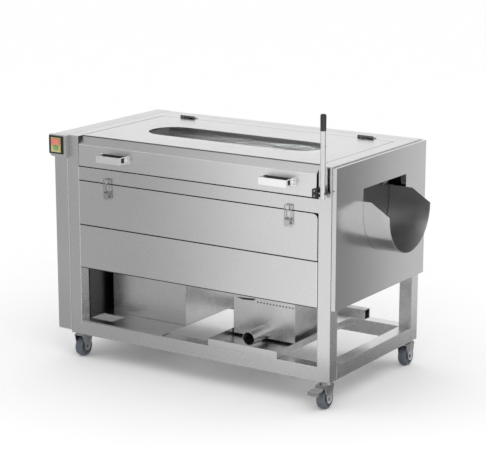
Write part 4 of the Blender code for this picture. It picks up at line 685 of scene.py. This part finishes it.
TYRE = ((0.004, 0.70), (0.0, 0.72), (0.0, 0.86), (0.003, 0.95), (0.007, 0.99), (0.012, 1.0))
WHEEL_HUB = ((0.0045, 0.695), (0.0045, 0.62), (0.007, 0.58), (0.007, 0.34), (0.001, 0.30), (0.001, 0.115))
WHEEL_SIDES = 48
NUT, NUT_TALL = 0.0075, 0.004


def mirrored(half, left, right, radius):
    """A full profile of stations and radii from its half."""
    stations = [(left + depth, share * radius) for depth, share in half]
    return stations + [(right - depth, share * radius) for depth, share in reversed(half)]


def add_nut(bm, centre, low, high):
    """A hexagonal nut along X."""
    add_prism(bm, "x", circle(centre, NUT, 6, math.radians(30)), low, high)


for place in CASTERS:
    low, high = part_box("caster_wheel_" + place)
    fork_low, fork_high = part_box("caster_fork_" + place)
    centre = ((low.y + high.y) / 2, (low.z + high.z) / 2)
    radius = (high.z - low.z) / 2
    bm = bmesh.new()
    add_turned(bm, "x", centre, mirrored(TYRE, low.x, high.x, radius), WHEEL_SIDES, True)
    piece(f"caster_wheel_{place}_look", bm, RUBBER, "wheel_" + place, 0.0,
          ("caster_wheel_" + place,))
    bm = bmesh.new()
    add_turned(bm, "x", centre, mirrored(WHEEL_HUB, low.x, high.x, radius), WHEEL_SIDES, True)
    piece(f"caster_hub_{place}", bm, HUB, "wheel_" + place)
    bm = bmesh.new()
    add_nut(bm, centre, fork_low.x - NUT_TALL, fork_low.x)
    add_nut(bm, centre, fork_high.x, fork_high.x + NUT_TALL)
    piece(f"caster_nuts_{place}", bm, ZINC, "fork_" + place, BAR_EDGE)


# Brush rollers with their shafts and sprockets

# Rings of tufts: where each starts, rises, crests and falls, and how its foot sways from ring to ring
BRUSH_GAP = 0.0127
BRUSH_SHARE = 0.995
RINGS = 54
RING_START, RING_RISE = 0.002, 0.001
RING_CREST, RING_SHOULDER = 0.30, 0.75
RING_DEPTH, RING_SWAY, RING_WAVE, RING_FALL = 0.90, 0.02, 1.7, 0.985
CORE_SHARE = 0.5
ROLLER_SIDES, SHAFT_SIDES = 28, 24
# Shafts, the planes of the two chains, and the sprockets in them
SHAFT, SHAFT_TIP, SHAFT_CHAMFER, SHAFT_IN = 0.012, 0.0105, 0.0015, 0.01
ROLLER_CHAIN, MOTOR_CHAIN = front_low.x - 0.030, front_low.x - 0.050
SPROCKET_HALF = 0.0025
SMALL_SPROCKET, SMALL_TEETH = 0.0298, 18
LARGE_SPROCKET, LARGE_TEETH = 0.0448, 28
DRIVEN_BRUSH = 5
TOOTH = ((0.0, 0.90), (0.30, 0.90), (0.42, 1.0), (0.62, 1.0), (0.74, 0.90))


def add_sprocket(bm, centre, radius, plane, teeth):
    """A sprocket disc with blunt teeth, in the plane of a chain."""
    outline = []
    for tooth in range(teeth):
        for share, reach in TOOTH:
            angle = math.tau * (tooth + share) / teeth
            outline.append((centre[0] + radius * reach * math.cos(angle),
                            centre[1] + radius * reach * math.sin(angle)))
    add_prism(bm, "x", outline, plane - SPROCKET_HALF, plane + SPROCKET_HALF)


trough_low, trough_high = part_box("wash_trough")
brush_start, brush_end = trough_low.x + BRUSH_GAP, trough_high.x - BRUSH_GAP
first_low, first_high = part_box("brush_roller_1")
brush_radius = (first_high.z - first_low.z) / 2 * BRUSH_SHARE
step = (brush_end - brush_start - 2 * RING_START) / RINGS
for count in range(1, BRUSHES + 1):
    low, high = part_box(f"brush_roller_{count}")
    centre = ((low.y + high.y) / 2, (low.z + high.z) / 2)
    profile = [(brush_start, CORE_SHARE)]
    for ring in range(RINGS):
        start = brush_start + RING_START + ring * step
        depth = RING_DEPTH + RING_SWAY * math.sin(ring * RING_WAVE + count)
        profile += [(start + RING_RISE, depth), (start + step * RING_CREST, 1.0),
                    (start + step * RING_SHOULDER, RING_FALL)]
    profile.append((brush_end, CORE_SHARE))
    bm = bmesh.new()
    add_turned(bm, "x", centre, [(x, share * brush_radius) for x, share in profile], ROLLER_SIDES)
    piece(f"brush_roller_{count}_look", bm, NYLON, f"brush_{count}", 0.0,
          (f"brush_roller_{count}",))
    bm = bmesh.new()
    add_turned(bm, "x", centre, [(low.x, SHAFT_TIP), (low.x + SHAFT_CHAMFER, SHAFT),
                                 (brush_start + SHAFT_IN, SHAFT)], SHAFT_SIDES)
    add_turned(bm, "x", centre, [(brush_end - SHAFT_IN, SHAFT), (high.x - SHAFT_CHAMFER, SHAFT),
                                 (high.x, SHAFT_TIP)], SHAFT_SIDES)
    add_sprocket(bm, centre, SMALL_SPROCKET, ROLLER_CHAIN, SMALL_TEETH)
    if count == DRIVEN_BRUSH:
        add_sprocket(bm, centre, LARGE_SPROCKET, MOTOR_CHAIN, LARGE_TEETH)
    piece(f"brush_shaft_{count}", bm, DARK_STEEL, f"brush_{count}")


# Painted light: a bright sheet on the left end plate, above the rollers, in the lighter inner steel

LIGHT_SHEET_GAP, LIGHT_SHEET_FACE = 0.0001, 0.0015
LIGHT_SHEET_SIDE, LIGHT_SHEET_RISE, LIGHT_SHEET_TOP = 0.004, 0.016, 0.001

plate_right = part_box("left_end_plate")[1].x
roller_axis = (first_low.z + first_high.z) / 2
bm = bmesh.new()
add_box(bm, (plate_right + LIGHT_SHEET_GAP, trough_low.y + LIGHT_SHEET_SIDE, roller_axis + LIGHT_SHEET_RISE),
        (plate_right + LIGHT_SHEET_FACE, trough_high.y - LIGHT_SHEET_SIDE, trough_high.z - LIGHT_SHEET_TOP))
piece("trough_end_light_sheet", bm, INNER_PAINTED_LIGHT_STEEL, "frame", LATCH_EDGE)


# Drive sprocket on the gearbox shaft

DRIVE_SHAFT, DRIVE_TIP = 0.011, 0.0095

low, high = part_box("drive_sprocket")
centre = ((low.y + high.y) / 2, (low.z + high.z) / 2)
bm = bmesh.new()
add_turned(bm, "x", centre, [(low.x, DRIVE_TIP), (low.x + SHAFT_CHAMFER, DRIVE_SHAFT),
                             (high.x, DRIVE_SHAFT)], SHAFT_SIDES)
add_sprocket(bm, centre, SMALL_SPROCKET, MOTOR_CHAIN, SMALL_TEETH)
piece("drive_sprocket_look", bm, DARK_STEEL, "drive", 0.0, ("drive_sprocket",))


# Motor with cooling ribs, on the axis of the drive sprocket

# End shield, ribbed barrel and fan cover, then the base, the feet and the terminal box
SHIELD, SHIELD_FACE, SHIELD_ROUND, SHIELD_LONG = 0.058, 0.050, 0.004, 0.022
BARREL, RIB, RIB_PITCH = 0.054, 0.0615, 0.008
FAN_COVER, FAN_FACE, FAN_ROUND, FAN_LONG, FAN_GAP = 0.060, 0.048, 0.006, 0.060, 0.004
RIB_SHAPE = ((0.003, BARREL), (0.0035, RIB), (0.0055, RIB), (0.006, BARREL))
BASE_HALF, BASE_THICK, BASE_MARGIN = 0.045, 0.012, 0.001
FOOT_STATIONS, FOOT_LONG, FOOT_HALF = (-0.035, 0.025), 0.010, 0.050
FOOT_LAP, FOOT_DROP = 0.010, 0.035
TERMINAL_HALF, TERMINAL_RISE = 0.025, 0.050
MOTOR_SIDES = 32

low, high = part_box("drive_motor")
station = low.x + SHIELD_LONG
profile = [(low.x, SHIELD_FACE), (low.x + SHIELD_ROUND, SHIELD), (station, SHIELD), (station, BARREL)]
while station < high.x - FAN_LONG:
    profile += [(station + reach, radius) for reach, radius in RIB_SHAPE]
    station += RIB_PITCH
station += FAN_GAP
profile += [(station, BARREL), (station, FAN_COVER), (high.x - FAN_ROUND, FAN_COVER), (high.x, FAN_FACE)]
bm = bmesh.new()
add_turned(bm, "x", centre, profile, MOTOR_SIDES)
middle = (low.x + high.x) / 2
add_box(bm, (middle - BASE_HALF, low.y + BASE_MARGIN, low.z),
        (middle + BASE_HALF, high.y - BASE_MARGIN, low.z + BASE_THICK))
for reach in FOOT_STATIONS:
    add_box(bm, (middle + reach, centre[0] - FOOT_HALF, low.z + FOOT_LAP),
            (middle + reach + FOOT_LONG, centre[0] + FOOT_HALF, centre[1] - FOOT_DROP))
add_box(bm, (middle - TERMINAL_HALF, centre[0] - TERMINAL_HALF, centre[1] + TERMINAL_RISE),
        (middle + TERMINAL_HALF, centre[0] + TERMINAL_HALF, high.z))
piece("drive_motor_look", bm, ENAMEL, "frame", BAR_EDGE, ("drive_motor",))


# Sump: row of small dark discs that stand for holes, with painted shade, and a black strip of painted shade
# along the top edge

# The front of the box behind the drain pipe's mouth, the line of holes, and the shade strip's corners from
# there
SUMP_FACE = 0.130
LINE_RISE = 0.2165
HOLES, HOLE_START, HOLE_PITCH = 12, 0.117, 0.0152
HOLE, HOLE_PROUD, HOLE_SIDES = 0.0034, 0.0004, 16
SUMP_SHADE = ((0.046, 0.001), (0.096, 0.004), (0.108, 0.012), (0.016, 0.006))
SUMP_SHADE_THICK = 0.003

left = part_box("sump_box")[0].x
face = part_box("sump_box")[0].y + SUMP_FACE
line = front_low.z + LINE_RISE
bm = bmesh.new()
for index in range(HOLES):
    centre = (left + HOLE_START + index * HOLE_PITCH, line)
    add_turned(bm, "y", centre, [(face - HOLE_PROUD, HOLE), (face, HOLE)], HOLE_SIDES)
piece("sump_holes", bm, DARK_STEEL, "frame")
bm = bmesh.new()
add_prism(bm, "y", [(left + across, line + rise) for across, rise in SUMP_SHADE], face - SUMP_SHADE_THICK, face)
piece("sump_shade_strip", bm, BLACK, "frame", BAR_EDGE)


# Studio

# The floor, and where the cards stand: in front, at the right side, overhead, and low ones by the floor
FLOOR_HALF = 14.0
CARD_LEFT, CARD_RIGHT = -1.9, 0.75
CARD_FRONT, CARD_FOOT, CARD_BACK = -0.60, -0.599, -0.33
SIDE_NEAR, SIDE_FAR = -0.20, 1.7
SIDE_IN, SIDE_OUT = 0.67, 0.92
TOP_LEFT, TOP_RIGHT, TOP_Z = -2.2, 0.6, 1.9
TOP_FRONT, TOP_SPLIT, TOP_BACK = -1.3, -0.46, 0.6
OFF_FLOOR, LOW_CARD = 0.001, 0.003
# The stretch along an axis over which the tone of each group of cards runs
FRONT_RUN = ("x", -0.55, 0.35)
SIDE_RUN = ("y", 0.12, 1.0)
TOP_RUN = ("x", -1.15, 0.0)


def rectangle(axis, station, low, high):
    """The corners of a rectangle square to an axis."""
    return [along(axis, station, u, v)
            for u, v in ((low[0], low[1]), (high[0], low[1]), (high[0], high[1]), (low[0], high[1]))]


def stage_plane(name, corners, material):
    """A flat stage piece."""
    bm = bmesh.new()
    bm.faces.new([bm.verts.new(corner) for corner in corners])
    mesh = bpy.data.meshes.new(name)
    bm.to_mesh(mesh)
    bm.free()
    mesh.materials.append(material)
    obj = bpy.data.objects.new(name, mesh)
    bpy.context.scene.collection.objects.link(obj)
    return obj


def floor_material():
    """Pale matt floor with a very faint mottle."""
    material, tree, shader = new_tree("studio_floor")
    mottle = noise(tree, EVEN, 3.0, 3.0, 0.5)
    tree.links.new(mixed(tree, mottle, grey(0.985), grey(1.0)), shader.inputs["Base Color"])
    shader.inputs["Roughness"].default_value = 0.9
    shader.inputs["Specular IOR Level"].default_value = 0.0
    return material


def card_material(name, axis, start, end, dark, bright):
    """A glow whose tone runs from dark to bright along one axis."""
    material = bpy.data.materials.new(name)
    material.use_nodes = True
    tree = material.node_tree
    tree.nodes.clear()
    place = node(tree, "ShaderNodeTexCoord").outputs["Object"]
    parts = node(tree, "ShaderNodeSeparateXYZ", {"Vector": place})
    share = node(tree, "ShaderNodeMapRange", {"Value": parts.outputs[AXES[axis]], "From Min": start,
                                              "From Max": end, "To Min": 0.0, "To Max": 1.0},
                 interpolation_type="SMOOTHSTEP")
    tone = mixed(tree, share.outputs["Result"], grey(dark), grey(bright))
    glow = node(tree, "ShaderNodeEmission", {"Color": tone, "Strength": 1.0})
    out = node(tree, "ShaderNodeOutputMaterial")
    tree.links.new(glow.outputs[0], out.inputs["Surface"])
    return material


stage_plane("studio_floor", rectangle("z", 0.0, (-FLOOR_HALF, -FLOOR_HALF), (FLOOR_HALF, FLOOR_HALF)),
            floor_material())

# Each card shows in reflections only: its plane and corners, the run of its tone, its dark and bright end
for name, axis, station, low, high, run, dark, bright in (
        ("card_front", "y", CARD_FRONT, (CARD_LEFT, OFF_FLOOR), (CARD_RIGHT, 0.98), FRONT_RUN, 0.50, 0.98),
        ("card_front_low", "z", LOW_CARD, (CARD_LEFT, CARD_FRONT), (CARD_RIGHT, CARD_BACK),
         FRONT_RUN, 0.44, 0.56),
        ("card_front_foot", "y", CARD_FOOT, (CARD_LEFT, OFF_FLOOR), (CARD_RIGHT, 0.10),
         FRONT_RUN, 0.46, 0.62),
        ("card_side_low", "z", LOW_CARD, (SIDE_IN, SIDE_NEAR), (SIDE_OUT, SIDE_FAR), SIDE_RUN, 0.20, 0.52),
        ("card_side", "x", SIDE_OUT, (SIDE_NEAR, OFF_FLOOR), (SIDE_FAR, 1.2), SIDE_RUN, 0.30, 0.80),
        ("card_bevel", "z", TOP_Z, (TOP_LEFT, TOP_FRONT), (TOP_RIGHT, TOP_SPLIT), TOP_RUN, 0.50, 0.92),
        ("card_top", "z", TOP_Z, (TOP_LEFT, TOP_SPLIT), (TOP_RIGHT, TOP_BACK), TOP_RUN, 0.12, 0.20)):
    card = stage_plane(name, rectangle(axis, station, low, high), card_material(name, *run, dark, bright))
    card.visible_camera = False
    card.visible_diffuse = False
    card.visible_shadow = False

world = bpy.data.worlds.new("studio")
bpy.context.scene.world = world
world.use_nodes = True
world.node_tree.nodes["Background"].inputs["Color"].default_value = grey(1.0)
world.node_tree.nodes["Background"].inputs["Strength"].default_value = 1.0


def area_light(name, place, target, size, power, spread_angle=180.0):
    """A soft rectangular lamp aimed at a point, with its light kept within an angle in degrees."""
    light = bpy.data.lights.new(name, "AREA")
    light.shape = "RECTANGLE"
    light.size, light.size_y = size
    light.energy = power
    light.spread = math.radians(spread_angle)
    obj = bpy.data.objects.new(name, light)
    obj.location = place
    obj.rotation_euler = (Vector(target) - Vector(place)).to_track_quat("-Z", "Y").to_euler()
    bpy.context.scene.collection.objects.link(obj)
    return obj


# A large key lamp, and two narrow weak lamps that reach in through the feed slot
area_light("key", (2.6, -2.6, 3.4), (0.0, 0.0, 0.4), (2.6, 2.6), 25.0)
for name, place, target, size, power, spread_angle in (
        ("slot_front", (0.75, -2.9, 1.82), (-0.03, 0.25, 0.875), (1.0, 0.04), 0.20, 2.0),
        ("slot_top", (-0.03, -0.52, 2.8), (-0.03, 0.02, 0.8), (0.80, 0.06), 0.26, 5.0)):
    area_light(name, place, target, size, power, spread_angle).visible_camera = False


# Camera, as fitted to the photograph

LENS_MM, SENSOR_MM = 127.51, 36.0
CAMERA_PLACE = (3.80108, -5.79131, 2.21303)
CAMERA_TILT, CAMERA_TURN = 76.46, 33.35

camera_data = bpy.data.cameras.new("camera")
camera_data.lens = LENS_MM
camera_data.sensor_width = SENSOR_MM
camera = bpy.data.objects.new("camera", camera_data)
camera.location = CAMERA_PLACE
camera.rotation_euler = (math.radians(CAMERA_TILT), 0.0, math.radians(CAMERA_TURN))
bpy.context.scene.collection.objects.link(camera)
bpy.context.scene.camera = camera

bpy.context.scene.view_settings.view_transform = "Standard"
